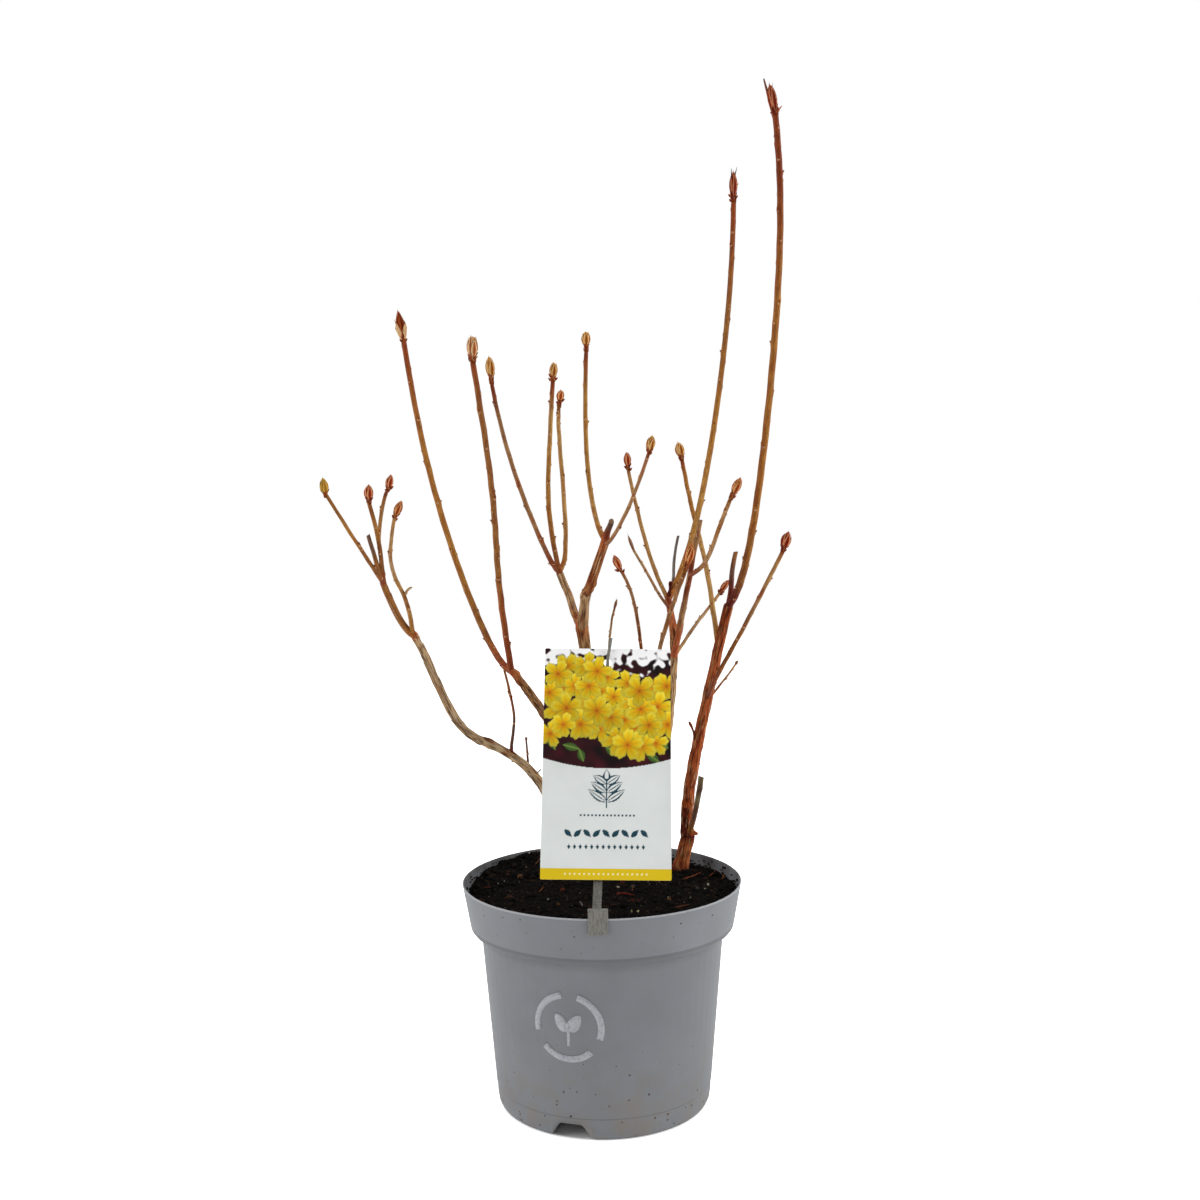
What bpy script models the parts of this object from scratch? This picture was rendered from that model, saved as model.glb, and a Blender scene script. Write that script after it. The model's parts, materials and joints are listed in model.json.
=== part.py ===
"""A potted mollis azalea in bud and bare of leaves, in metres with +Z up.

The origin is on the pot's axis, on the surface that the pot stands on, and the label faces -Y.
The plant is a set of limbs. Each limb is an arc that grows from a point on another limb. Limbs in
line make a bough, and limbs that are fused make a spray of twigs that ends in buds.
"""

import math
import random
from collections import namedtuple

import bmesh
import bpy
from mathutils import Matrix, Vector

MM = 0.001
GAP = 0.3 * MM  # clearance between pieces that meet
WELD = 0.001 * MM

# Pot: outer radii, each with its height
POT_HEIGHT = 152.8 * MM
RIM_RADIUS = 95.0 * MM
COLLAR_RADIUS = 90.1 * MM
COLLAR_FOOT = 125.2 * MM
SHOULDER_DROP = 6.0 * MM
BODY_RADIUS = 82.5 * MM
SEAM_RADIUS = 73.8 * MM
SEAM_HEIGHT = 15.0 * MM
SEAM_STEP = 0.4 * MM
HEEL_REACH = 4.1 * MM
HEEL_HEIGHT = 8.0 * MM
FOOT_RADIUS = 69.0 * MM
POT_WALL = 1.4 * MM
POT_STEPS = 64

# Raised drainage channels in the pot's floor, which open as notches in its foot
CHANNEL_COUNT = 3
CHANNEL_HEADING = math.radians(-107.5)
CHANNEL_HEIGHT = 11.0 * MM
CHANNEL_FOOT_WIDTH = 29.0 * MM
CHANNEL_TOP_WIDTH = 16.0 * MM
CHANNEL_START = 22.0 * MM
DRAIN_RADIUS = 4.0 * MM
DRAIN_SPOTS = (38.0 * MM, 56.0 * MM)

# Potting soil
SOIL_LEVEL = 138.0 * MM  # lowest point of its edge
SOIL_SEAT = 144.0 * MM  # where the stems stand
SOIL_RINGS = 8
SOIL_PATCH = 0.5 * MM
SEAT_RADIUS = 12.0 * MM

# Label card, in its own plane: X to the right, Y up the card, Z out of its face
CARD_WIDTH = 82.0 * MM
CARD_HEIGHT = 150.0 * MM
CARD_THICK = 0.6 * MM
CARD_CORNER = 2.0 * MM
CARD_FOOT = Vector((2.4, -87.0, 175.4)) * MM
CARD_LEAN = 0.40
CARD_ROLL = -0.022
HOLE_RADIUS = 2.6 * MM
HOLE_HEIGHT = 140.5 * MM

# Label holder: a ribbed bar with a pin at its top and a clip that straddles the pot's rim
BAR_WIDTH = 5.6 * MM
BAR_THICK = 2.2 * MM
BAR_GROOVE = 1.3 * MM
BAR_RIBS = 3
BAR_BOTTOM = -21.0 * MM
BAR_TOP = 131.0 * MM
BAR_OFFSET = -4.8 * MM  # sideways at the card's foot
PIN_RADIUS = 1.0 * MM
PIN_DEPTH = 2.0 * MM
PIN_HALF_CROSSING = 2.5 * MM
PIN_TIP = 16.0 * MM
PIN_TIP_DRIFT = 2.2 * MM
CLIP_WIDTH = 12.6 * MM
CLIP_PLATE = 1.5 * MM
CLIP_EASE = 0.5 * MM
CLIP_TOP = 159.8 * MM
CLIP_BRIDGE = 156.5 * MM
CLIP_FRONT_FOOT = 142.8 * MM
CLIP_BACK_FOOT = 147.0 * MM
CLIP_SIDE = -2.7 * MM

# Wood
RING_STEP = 11.0 * MM  # length between two rings of a limb
COLLAR_SWELL = 0.2  # extra thickness of a limb where it leaves its parent
COLLAR_REACH = 5.0 * MM
FOOT_SWELL = 0.35  # extra thickness of a stem where it meets the soil
FOOT_REACH = 8.0 * MM
ZIGZAG = 0.35 * MM
ROOT_SHARE = 0.75  # a limb's radius at its very root, in radii of its parent
CLEAR_SHARE = 1.2  # a cutter's extra radius in clearances, since its facets lie inside its radius
BUD_OUTLINE = ((0.14, 0.76), (0.36, 1.0), (0.6, 0.93))  # shares of a bud's length and of its radius
BUD_SHOULDER = 0.82  # where its tip begins, as a share of its length
SCAR_STEP = 24.0 * MM  # length between two side buds
SCAR_LENGTH = 2.6 * MM
SCAR_RADIUS = 0.9 * MM
SCAR_OPENING = math.radians(42)
GOLDEN_ANGLE = math.radians(137.5)

# A limb leaves its parent at a share of that parent's length. Its tip is measured from the origin.
# Its middle bows off the straight line, and its halves sway to opposite sides, along X and Z. It
# thins from the first diameter to the second, and its end bud points along the last three numbers.
# All in millimetres.
Limb = namedtuple("Limb", "parent share tip bow sway thick bud", defaults=(None,))

FEET = {"main_stem": (13, 35), "right_foot": (56, 49.5)}

LIMBS = {
    "main_stem": Limb(None, 0, (9, 34, 174), (0, 0, 0), (0, 0), (17, 15)),
    "centre_bough": Limb("main_stem", 0.95, (-12, 26, 325), (2, 0, 0), (1.5, 1), (9.7, 8.3)),
    "far_left_low": Limb("main_stem", 0.6, (-80, 0, 248.5), (-0.5, -5, 0.5), (-5, -4), (7.2, 5.8)),
    "far_left_high": Limb(
        "far_left_low", 1, (-121.5, -25, 324), (-5, -4, -0.5), (0.5, -6), (5.6, 5)
    ),
    "far_left_fork": Limb(
        "far_left_high", 1, (-140, -32, 359), (-0.5, 0, -4.5), (0.5, -1.5), (4.7, 4.2)
    ),
    "far_left_outer": Limb(
        "far_left_fork", 0.98, (-168, -75, 417.5), (6.5, -6, -9), (-0.5, 1), (2.7, 2.2), (-1, -2, 10)
    ),
    "far_left_dead": Limb(
        "far_left_fork", 0.98, (-151.5, -16, 389.5), (-0.5, 2, 0), (0, 0), (3.4, 2.6)
    ),
    "far_left_upper": Limb(
        "far_left_fork", 0.97, (-152, -6, 411), (1.5, 4, -2.5), (-0.5, 2), (3.1, 2.7), (0, 1, 12)
    ),
    "far_left_back": Limb(
        "far_left_upper", 0.55, (-142, 14, 418.5), (-2, 4, 1), (-0.5, -3.5), (2.7, 2.4), (2, 3, 11)
    ),
    "far_left_inner": Limb(
        "far_left_fork", 0.04, (-128, -58, 401.5), (-3.5, -5, -3), (2.5, 3), (3, 2.2), (5, -1, 11)
    ),
    "far_left_spur": Limb(
        "far_left_inner", 0.35, (-119, -46, 357), (-1, 0, 0), (0.5, 0), (1.9, 1.4)
    ),
    "left_low_twig": Limb(
        "far_left_low", 0.83, (-64, -10, 299.5), (4, 0, -10.5), (-1.5, 2.5), (2.4, 1.6)
    ),
    "left_low_spur": Limb(
        "far_left_low", 0.72, (-51.5, 26, 243.5), (0.5, 3, -3.5), (0, 0.5), (1.9, 1.4), (0, 1, 3)
    ),
    "mid_left_bough": Limb(
        "centre_bough", 0.16, (-60, 28, 291.5), (-7, 0, 7.5), (0, -2), (6.2, 5.5)
    ),
    "mid_left_outer": Limb(
        "mid_left_bough", 1, (-139, 90, 527), (-1, 9, -46), (3, -6), (4.8, 3.9), (-4, 1, 22)
    ),
    "mid_left_inner": Limb(
        "mid_left_outer", 0.02, (-77, -55, 498), (2.5, -12, -8.5), (-2.5, 9), (4.3, 3.6), (0, -2, 16.5)
    ),
    "centre_left_bough": Limb(
        "centre_bough", 1, (-27, 46, 358.5), (1.5, 3, -7), (-0.5, -0.5), (5.6, 5.1)
    ),
    "centre_left_middle": Limb(
        "centre_left_bough", 1, (-29, 12, 490), (-5.5, -5, -1), (-1, 2.5), (3.6, 2.9), (1, -1, 13)
    ),
    "centre_left_outer": Limb(
        "centre_left_middle", 0.01, (-76.5, 105, 494), (1, 9, -22.5), (2.5, -5), (3.7, 3), (-2, 2, 22)
    ),
    "centre_left_inner": Limb(
        "centre_left_middle", 0.01, (-27, 75, 475), (3, 4, -1), (2, -11.5), (3.4, 2.8), (2, 3, 14)
    ),
    "centre_right_bough": Limb(
        "centre_bough", 0.98, (5, 0, 383), (-4.5, -4, -3.5), (2, 9.5), (6.7, 6)
    ),
    "centre_right_dead": Limb(
        "centre_right_bough", 1, (9, -10, 396.5), (0.5, 0, 2), (-0.5, -0.5), (4.6, 3.4)
    ),
    "centre_right_tall": Limb(
        "centre_right_dead", 0.03, (-6.5, 36, 511), (-4.5, 5, -26), (0.5, 0.5), (3.5, 2.9), (0, 1, 15)
    ),
    "centre_right_outer": Limb(
        "centre_right_dead", 0.03, (32.5, -70, 441), (-5, -11, -18), (-1, -1), (2.7, 2.2), (2, -3, 10)
    ),
    "inner_bough": Limb("main_stem", 0.8, (52, 40, 321.5), (16.5, 0, 2.5), (2, -7), (6.2, 5.6)),
    "inner_fork": Limb("inner_bough", 1, (49, 46, 340), (0, 0, 0), (0, 0), (4.9, 4.6)),
    "inner_tall": Limb(
        "inner_fork", 0.97, (100.5, 90, 621.5), (9.5, 7, -19.5), (-1, -9.5), (4.4, 3.7), (0, 1, 23)
    ),
    "inner_back": Limb(
        "inner_fork", 0.97, (23, 95, 430.5), (-2, 7, -4), (0, -1.5), (3.1, 2.6), (-1, 2, 14)
    ),
    "inner_front": Limb(
        "inner_fork", 0.65, (24, -5, 376.5), (0.5, -7, -2.5), (-0.5, 0), (2.2, 1.8), (-4, -3, 11)
    ),
    "inner_dead": Limb("inner_fork", 0.97, (57.5, 64, 383.5), (0.5, 3, -1), (1, 1), (2.4, 1.9)),
    "fork_dead": Limb("inner_bough", 0.8, (70, 16, 395.5), (-1, -4, -4), (0, -0.5), (4.7, 3)),
    "fork_front": Limb(
        "fork_dead", 0.65, (83.5, -55, 409.5), (1.5, -12, -4), (0.5, -2), (3.2, 2.6), (7, -3, 15)
    ),
    "fine_back_twig": Limb(
        "inner_bough", 0.8, (90, 105, 338.5), (2.5, 10, 3), (3, 4.5), (2.5, 2.2), (7.5, 1, 10.5)
    ),
    "front_right_shoot": Limb(
        "inner_bough", 0.42, (56, -35, 363), (-13, -11, 0), (-1.5, 0), (3.5, 2.7), (5, -3, 20)
    ),
    "front_left_shoot": Limb(
        "inner_bough", 0.3, (14.5, -40, 365.5), (2.5, 0, 17.5), (-1, -3.5), (2.6, 2.1), (-4.5, -3.5, 10.5)
    ),
    "fine_centre_twig": Limb(
        "centre_bough", 0.62, (10.5, 0, 337), (3, -4, 7.5), (1, -1.5), (1.8, 1.4), (2, 0, 7)
    ),
    "right_foot": Limb(None, 0, (62, 47, 170), (0, 0, 0), (0, 0), (9.6, 9.5)),
    "right_stem": Limb("right_foot", 1, (92, 56, 333), (-8.5, 0, -21), (-1, -1.5), (9.2, 6.6)),
    "right_low_stub": Limb(
        "right_stem", 0.03, (70.5, 32, 215.5), (0, -2, -6.5), (-0.5, -2.5), (3.4, 4.1)
    ),
    "right_fine_twig": Limb(
        "right_stem", 0.69, (99.5, 82, 288), (0.5, 0, 0), (0, 0), (1.8, 1.4), (2, 1, 3)
    ),
    "right_outer_shoot": Limb(
        "right_stem", 0.7, (122, -15, 375), (-11, -10, -17), (1, 3), (3.2, 2.7), (4, -1.5, 14)
    ),
    "right_inner_shoot": Limb(
        "right_stem", 0.87, (64, 120, 437), (0.5, 10, 10.5), (0, 5.5), (3.7, 3), (-3, 2, 15)
    ),
    "right_tall": Limb(
        "right_stem", 1, (123, 26, 666.5), (11.5, -4, -27), (-2.5, -22), (5.3, 4.2), (-4, -1, 21)
    ),
    "right_tall_scale": Limb("right_tall", 0.995, (115, 25, 691.5), (-0.5, 0, 0), (0, 0), (3.4, 1)),
    "right_dead": Limb("right_tall", 0.01, (99, 68, 371.5), (-0.5, 0, 0), (0.5, 0.5), (4, 3.2)),
}

# Each end bud: its width in millimetres, the share of its length that is a slim neck, and how blunt
# its tip is
BudShape = namedtuple("BudShape", "width neck blunt", defaults=(0.0, 0.1))
BUDS = {
    "far_left_outer": BudShape(5.7),
    "far_left_upper": BudShape(5.8, 0.12),
    "far_left_back": BudShape(5.2, 0.12),
    "far_left_inner": BudShape(4.8, 0.16),
    "left_low_spur": BudShape(1.9, 0.1),
    "mid_left_outer": BudShape(7.4, 0.04, 0.06),
    "mid_left_inner": BudShape(7.4, 0.22, 0.6),
    "centre_left_middle": BudShape(5.1, 0.26, 0.45),
    "centre_left_outer": BudShape(5.9, 0.5, 0.35),
    "centre_left_inner": BudShape(5.1, 0.42, 0.3),
    "centre_right_tall": BudShape(5.8, 0.36, 0.45),
    "centre_right_outer": BudShape(5.2, 0.1, 0.15),
    "inner_tall": BudShape(5.6, 0.2),
    "inner_back": BudShape(4.8, 0.38, 0.15),
    "inner_front": BudShape(2.1, 0.1),
    "fork_front": BudShape(5.2, 0.34, 0.2),
    "fine_back_twig": BudShape(4.4, 0.16, 0.15),
    "front_right_shoot": BudShape(6.0, 0.36),
    "front_left_shoot": BudShape(4.9, 0.14, 0.06),
    "fine_centre_twig": BudShape(2.0, 0.1),
    "right_fine_twig": BudShape(2.1, 0.1, 0.2),
    "right_outer_shoot": BudShape(6.4, 0.2),
    "right_inner_shoot": BudShape(5.6, 0.34, 0.15),
    "right_tall": BudShape(6.4, 0.18, 0.3),
}

# Each bough and stem: its limbs in line, and the limbs that it is cut clear of
BOUGHS = {
    "main_stem": (["main_stem"], []),
    "centre_bough": (["centre_bough"], ["main_stem"]),
    "far_left_bough_low": (["far_left_low"], ["main_stem", "centre_bough"]),
    "far_left_bough_high": (["far_left_high"], ["far_left_low"]),
    "mid_left_bough": (["mid_left_bough"], ["centre_bough"]),
    "centre_left_bough": (["centre_left_bough"], ["centre_bough"]),
    "centre_right_bough": (["centre_right_bough"], ["centre_bough", "centre_left_bough"]),
    "inner_bough": (["inner_bough"], ["main_stem", "centre_bough"]),
    "right_stem": (["right_foot", "right_stem"], []),
}

# Each spray: its own stem first, then the twigs fused to it, and the limbs that it is cut clear of
SPRAYS = {
    "far_left_twigs": (
        ["far_left_fork", "far_left_outer", "far_left_dead", "far_left_upper", "far_left_back",
         "far_left_inner", "far_left_spur"],
        ["far_left_high"],
    ),
    "left_low_twig": (["left_low_twig"], ["far_left_low"]),
    "left_low_spur": (["left_low_spur"], ["far_left_low"]),
    "mid_left_twigs": (["mid_left_outer", "mid_left_inner"], ["mid_left_bough"]),
    "centre_left_twigs": (
        ["centre_left_middle", "centre_left_outer", "centre_left_inner"],
        ["centre_left_bough"],
    ),
    "centre_right_twigs": (
        ["centre_right_dead", "centre_right_tall", "centre_right_outer"],
        ["centre_right_bough"],
    ),
    "fine_centre_twig": (["fine_centre_twig"], ["centre_bough"]),
    "inner_twigs": (
        ["inner_fork", "inner_tall", "inner_back", "inner_front", "inner_dead"],
        ["inner_bough"],
    ),
    "fork_twigs": (["fork_dead", "fork_front"], ["inner_bough", "inner_fork", "inner_front"]),
    "fine_back_twig": (["fine_back_twig"], ["inner_bough"]),
    "front_right_shoot": (["front_right_shoot"], ["inner_bough"]),
    "front_left_shoot": (["front_left_shoot"], ["inner_bough"]),
    "right_low_stub": (["right_low_stub"], ["right_stem"]),
    "right_fine_twig": (["right_fine_twig"], ["right_stem"]),
    "right_outer_shoot": (["right_outer_shoot"], ["right_stem"]),
    "right_inner_shoot": (["right_inner_shoot"], ["right_stem"]),
    "right_tall_twigs": (["right_tall", "right_tall_scale", "right_dead"], ["right_stem"]),
}

BARE_LIMBS = ("far_left_dead", "far_left_spur", "centre_right_dead", "inner_dead", "fork_dead",
              "right_low_stub", "right_dead", "right_tall_scale", "far_left_fork", "inner_fork")


def clear_scene():
    for obj in list(bpy.data.objects):
        bpy.data.objects.remove(obj)


def new_collection(name, hidden=False):
    collection = bpy.data.collections.new(name)
    collection.hide_render = hidden
    bpy.context.scene.collection.children.link(collection)
    return collection


def new_material(name, colour, roughness):
    material = bpy.data.materials.new(name)
    material.use_nodes = True
    shader = material.node_tree.nodes["Principled BSDF"]
    shader.inputs["Base Color"].default_value = (*colour, 1)
    shader.inputs["Roughness"].default_value = roughness
    return material


def new_object(name, bm, collection):
    mesh = bpy.data.meshes.new(name)
    bm.to_mesh(mesh)
    bm.free()
    obj = bpy.data.objects.new(name, mesh)
    collection.objects.link(obj)
    return obj


def applied(obj):
    """Replaces a curve, or a mesh with modifiers, with the plain closed mesh that it shows."""
    graph = bpy.context.evaluated_depsgraph_get()
    mesh = bpy.data.meshes.new_from_object(obj.evaluated_get(graph))
    bm = bmesh.new()
    bm.from_mesh(mesh)
    bmesh.ops.remove_doubles(bm, verts=bm.verts, dist=WELD)
    bm.to_mesh(mesh)
    bm.free()
    name = obj.name
    plain = bpy.data.objects.new(name + "_plain", mesh)
    plain.matrix_world = obj.matrix_world.copy()
    obj.users_collection[0].objects.link(plain)
    bpy.data.objects.remove(obj)
    plain.name = name
    return plain


def boolean(obj, operation, other):
    """Adds a Boolean with another object, or with every object of a collection."""
    modifier = obj.modifiers.new(operation.title(), "BOOLEAN")
    modifier.operation = operation
    if isinstance(other, bpy.types.Collection):
        modifier.operand_type = "COLLECTION"
        modifier.collection = other
    else:
        modifier.object = other
    return modifier


def as_cutter(obj):
    obj.hide_render = True
    obj.display_type = "WIRE"
    return obj


def fused(base, extras, collection):
    """Joins loose solids to a base with one Boolean union on a collection, and removes them."""
    loose = new_collection(base.name + "_extras")
    for extra in extras:
        collection.objects.unlink(extra)
        loose.objects.link(extra)
    boolean(base, "UNION", loose)
    whole = applied(base)
    for extra in extras:
        bpy.data.objects.remove(extra)
    bpy.data.collections.remove(loose)
    return whole


def finish(obj, material):
    obj.data.materials.clear()
    obj.data.materials.append(material)
    obj.data.shade_smooth()
    obj.data.set_sharp_from_angle(angle=math.radians(40))


# Pot and soil


def turned(name, profile, collection):
    """A solid of revolution about Z. The profile runs down its outer side."""
    bm = bmesh.new()
    corners = [bm.verts.new((radius, 0, height)) for radius, height in profile]
    for above, below in zip(corners, corners[1:]):
        bm.edges.new((above, below))
    obj = new_object(name, bm, collection)
    screw = obj.modifiers.new("Screw", "SCREW")
    screw.steps = POT_STEPS
    screw.render_steps = POT_STEPS
    screw.use_merge_vertices = True
    screw.merge_threshold = WELD
    return applied(obj)


def quarter_turn(steps):
    return [math.pi / 2 * step / steps for step in range(steps + 1)]


def collar_radius(height):
    """The collar's outer radius at a height."""
    share = (height - COLLAR_FOOT) / (POT_HEIGHT - COLLAR_FOOT)
    return COLLAR_RADIUS + (RIM_RADIUS - COLLAR_RADIUS) * share


def wall_line(inset, top):
    """The pot's wall from the collar down to the middle of its floor, set in by a distance."""
    line = [(collar_radius(top) - inset, top)]
    for turn in quarter_turn(4):
        radius = BODY_RADIUS + (COLLAR_RADIUS - BODY_RADIUS) * math.cos(turn)
        line.append((radius - inset, COLLAR_FOOT - SHOULDER_DROP * math.sin(turn) + inset))
    line.append((SEAM_RADIUS - inset, SEAM_HEIGHT))
    if inset == 0:
        line.append((SEAM_RADIUS - SEAM_STEP, SEAM_HEIGHT - SEAM_STEP))
    for turn in quarter_turn(3):
        radius = FOOT_RADIUS + HEEL_REACH * math.cos(turn)
        line.append((radius - inset, HEEL_HEIGHT * (1 - math.sin(turn)) + inset))
    line.append((0, inset))
    return line


def channel(name, margin, length, depth, collection):
    """A drainage channel's form along +X. It is larger than the opening by a margin on each side
    and goes on below the floor by a depth.
    """
    slope = (CHANNEL_FOOT_WIDTH - CHANNEL_TOP_WIDTH) / 2 / CHANNEL_HEIGHT
    start = CHANNEL_START - margin
    bm = bmesh.new()
    bmesh.ops.create_cube(bm, size=1)
    for corner in bm.verts:
        height = CHANNEL_HEIGHT + margin if corner.co.z > 0 else -depth
        width = CHANNEL_FOOT_WIDTH - 2 * slope * height + 2 * margin * math.hypot(1, slope)
        corner.co = (start + length * (corner.co.x + 0.5), width * corner.co.y, height)
    ridges = [edge for edge in bm.edges if all(corner.co.z > 0 for corner in edge.verts)
              and abs(edge.verts[0].co.y - edge.verts[1].co.y) < WELD]
    bmesh.ops.bevel(bm, geom=ridges, offset=2 * MM, segments=2, profile=0.5, affect="EDGES")
    return new_object(name, bm, collection)


def turned_about_axis(obj, heading):
    obj.data.transform(Matrix.Rotation(heading, 4, "Z"))
    return obj


def channel_headings():
    return [CHANNEL_HEADING + math.tau * k / CHANNEL_COUNT for k in range(CHANNEL_COUNT)]


def make_pot(parts, cutters):
    lip = [(RIM_RADIUS - POT_WALL / 2, POT_HEIGHT)]
    outside = wall_line(0, POT_HEIGHT - POT_WALL / 3)
    inside = wall_line(POT_WALL, POT_HEIGHT - POT_WALL / 3)
    pot = turned("pot", inside[::-1] + lip + outside, parts)
    core = as_cutter(turned("pot_core", wall_line_closed(POT_WALL / 2), cutters))
    roofs = []
    for k, heading in enumerate(channel_headings()):
        roof = channel(f"roof_{k}", POT_WALL, FOOT_RADIUS, 0, parts)
        turned_about_axis(roof, heading)
        boolean(roof, "INTERSECT", core)
        roofs.append(applied(roof))
    pot = fused(pot, roofs, parts)
    for k, heading in enumerate(channel_headings()):
        tunnel = channel(f"tunnel_{k}", 0, FOOT_RADIUS, POT_WALL, cutters)
        boolean(pot, "DIFFERENCE", as_cutter(turned_about_axis(tunnel, heading)))
        for row, radius in enumerate(DRAIN_SPOTS):
            bm = bmesh.new()
            place = Matrix.Translation((radius, 0, CHANNEL_HEIGHT))
            bmesh.ops.create_cone(bm, cap_ends=True, segments=12, radius1=DRAIN_RADIUS,
                                  radius2=DRAIN_RADIUS, depth=4 * POT_WALL, matrix=place)
            drain = turned_about_axis(new_object(f"drain_{k}_{row}", bm, cutters), heading)
            boolean(pot, "DIFFERENCE", as_cutter(drain))
    return pot


def wall_line_closed(inset):
    """The space inside a wall line, as a solid's profile from axis to axis."""
    line = wall_line(inset, SEAM_HEIGHT * 2)
    return [(0, SEAM_HEIGHT * 2)] + [spot for spot in line if spot[1] <= SEAM_HEIGHT * 2][1:]


def soil_height(x, y):
    """The soil's surface: banked up at the back left, lower at the left, flat under the stems."""
    heading = math.atan2(y, x)
    out = min(1, math.hypot(x, y) / COLLAR_RADIUS)
    back_left = max(0, math.cos(heading - math.radians(125))) ** 2
    left = max(0, math.cos(heading - math.radians(190))) ** 4
    height = SOIL_SEAT + out**3 * (7.5 * back_left - 6.0 * left) * MM
    ripple = math.sin(x * 190 + 1) * math.cos(y * 230) + math.sin(x * 97 - y * 131)
    height += SOIL_PATCH * ripple
    for foot_x, foot_y in FEET.values():
        away = math.hypot(x - foot_x * MM, y - foot_y * MM) / SEAT_RADIUS
        blend = min(1, max(0, 2 * away - 1.6))
        height = SOIL_SEAT * (1 - blend) + height * blend
    return height


def make_soil(parts, cutters):
    inset = POT_WALL + GAP
    side = wall_line(inset, SOIL_LEVEL)
    reach = side[0][0]
    top = [(reach * k / SOIL_RINGS, SOIL_LEVEL) for k in range(SOIL_RINGS)]
    soil = turned("soil", top + side, parts)
    for corner in soil.data.vertices:
        if corner.co.z < SOIL_LEVEL - WELD:
            continue
        height = soil_height(corner.co.x, corner.co.y)
        spread = (collar_radius(height) - inset) / reach
        corner.co = (corner.co.x * spread, corner.co.y * spread, height)
    for k, heading in enumerate(channel_headings()):
        bed = channel(f"bed_{k}", POT_WALL + GAP, 2 * FOOT_RADIUS, POT_WALL, cutters)
        boolean(soil, "DIFFERENCE", as_cutter(turned_about_axis(bed, heading)))
    return soil


# Label card and its holder


def card_frame():
    lean = Matrix.Rotation(math.pi / 2 - CARD_LEAN, 4, "X")
    return Matrix.Translation(CARD_FOOT) @ lean @ Matrix.Rotation(CARD_ROLL, 4, "Z")


def flat_plate(name, outlines, thickness, collection):
    """A flat plate, centred on its own XY plane, from an outline and the holes in it."""
    curve = bpy.data.curves.new(name, "CURVE")
    curve.dimensions = "2D"
    curve.fill_mode = "BOTH"
    curve.extrude = thickness / 2
    for outline in outlines:
        spline = curve.splines.new("POLY")
        spline.points.add(len(outline) - 1)
        spline.use_cyclic_u = True
        for spot, (x, y) in zip(spline.points, outline):
            spot.co = (x, y, 0, 1)
    obj = bpy.data.objects.new(name, curve)
    collection.objects.link(obj)
    return applied(obj)


def circle(centre_x, centre_y, radius, steps):
    turns = [math.tau * k / steps for k in range(steps)]
    return [(centre_x + radius * math.cos(a), centre_y + radius * math.sin(a)) for a in turns]


def rounded_rectangle(width, height, corner, steps):
    """Its lower side lies on the X axis, and X is zero at its middle."""
    outline = []
    for side_x, side_y, first in ((1, 1, 0), (-1, 1, 1), (-1, -1, 2), (1, -1, 3)):
        centre_x = side_x * (width / 2 - corner)
        centre_y = height / 2 + side_y * (height / 2 - corner)
        for step in range(steps + 1):
            turn = math.pi / 2 * (first + step / steps)
            outline.append((centre_x + corner * math.cos(turn), centre_y + corner * math.sin(turn)))
    return outline


def make_label_card(parts):
    edge = rounded_rectangle(CARD_WIDTH, CARD_HEIGHT, CARD_CORNER, 3)
    hole = circle(0, HOLE_HEIGHT, HOLE_RADIUS, 20)
    card = flat_plate("label_card", [edge, hole], CARD_THICK, parts)
    card.data.transform(card_frame())
    return card


def comb_outline(width, thick, groove, ribs):
    """A bar's cross-section, with grooves of equal width between the ribs on its front."""
    rib = (width - (ribs - 1) * groove) / ribs
    outline = [(-width / 2, -thick / 2), (width / 2, -thick / 2)]
    for k in reversed(range(ribs)):
        left = -width / 2 + k * (rib + groove)
        outline += [(left + rib, thick / 2), (left, thick / 2)]
        if k:
            outline += [(left, thick / 2 - groove), (left - groove, thick / 2 - groove)]
    return outline


def clip_front(height):
    """Where the clip's outer plate faces the collar."""
    return -collar_radius(height) - GAP


def clip_back(height):
    """Where the clip's inner plate faces the collar, clear of the wall's curve."""
    return -collar_radius(height) + POT_WALL + GAP + CLIP_EASE


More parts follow.
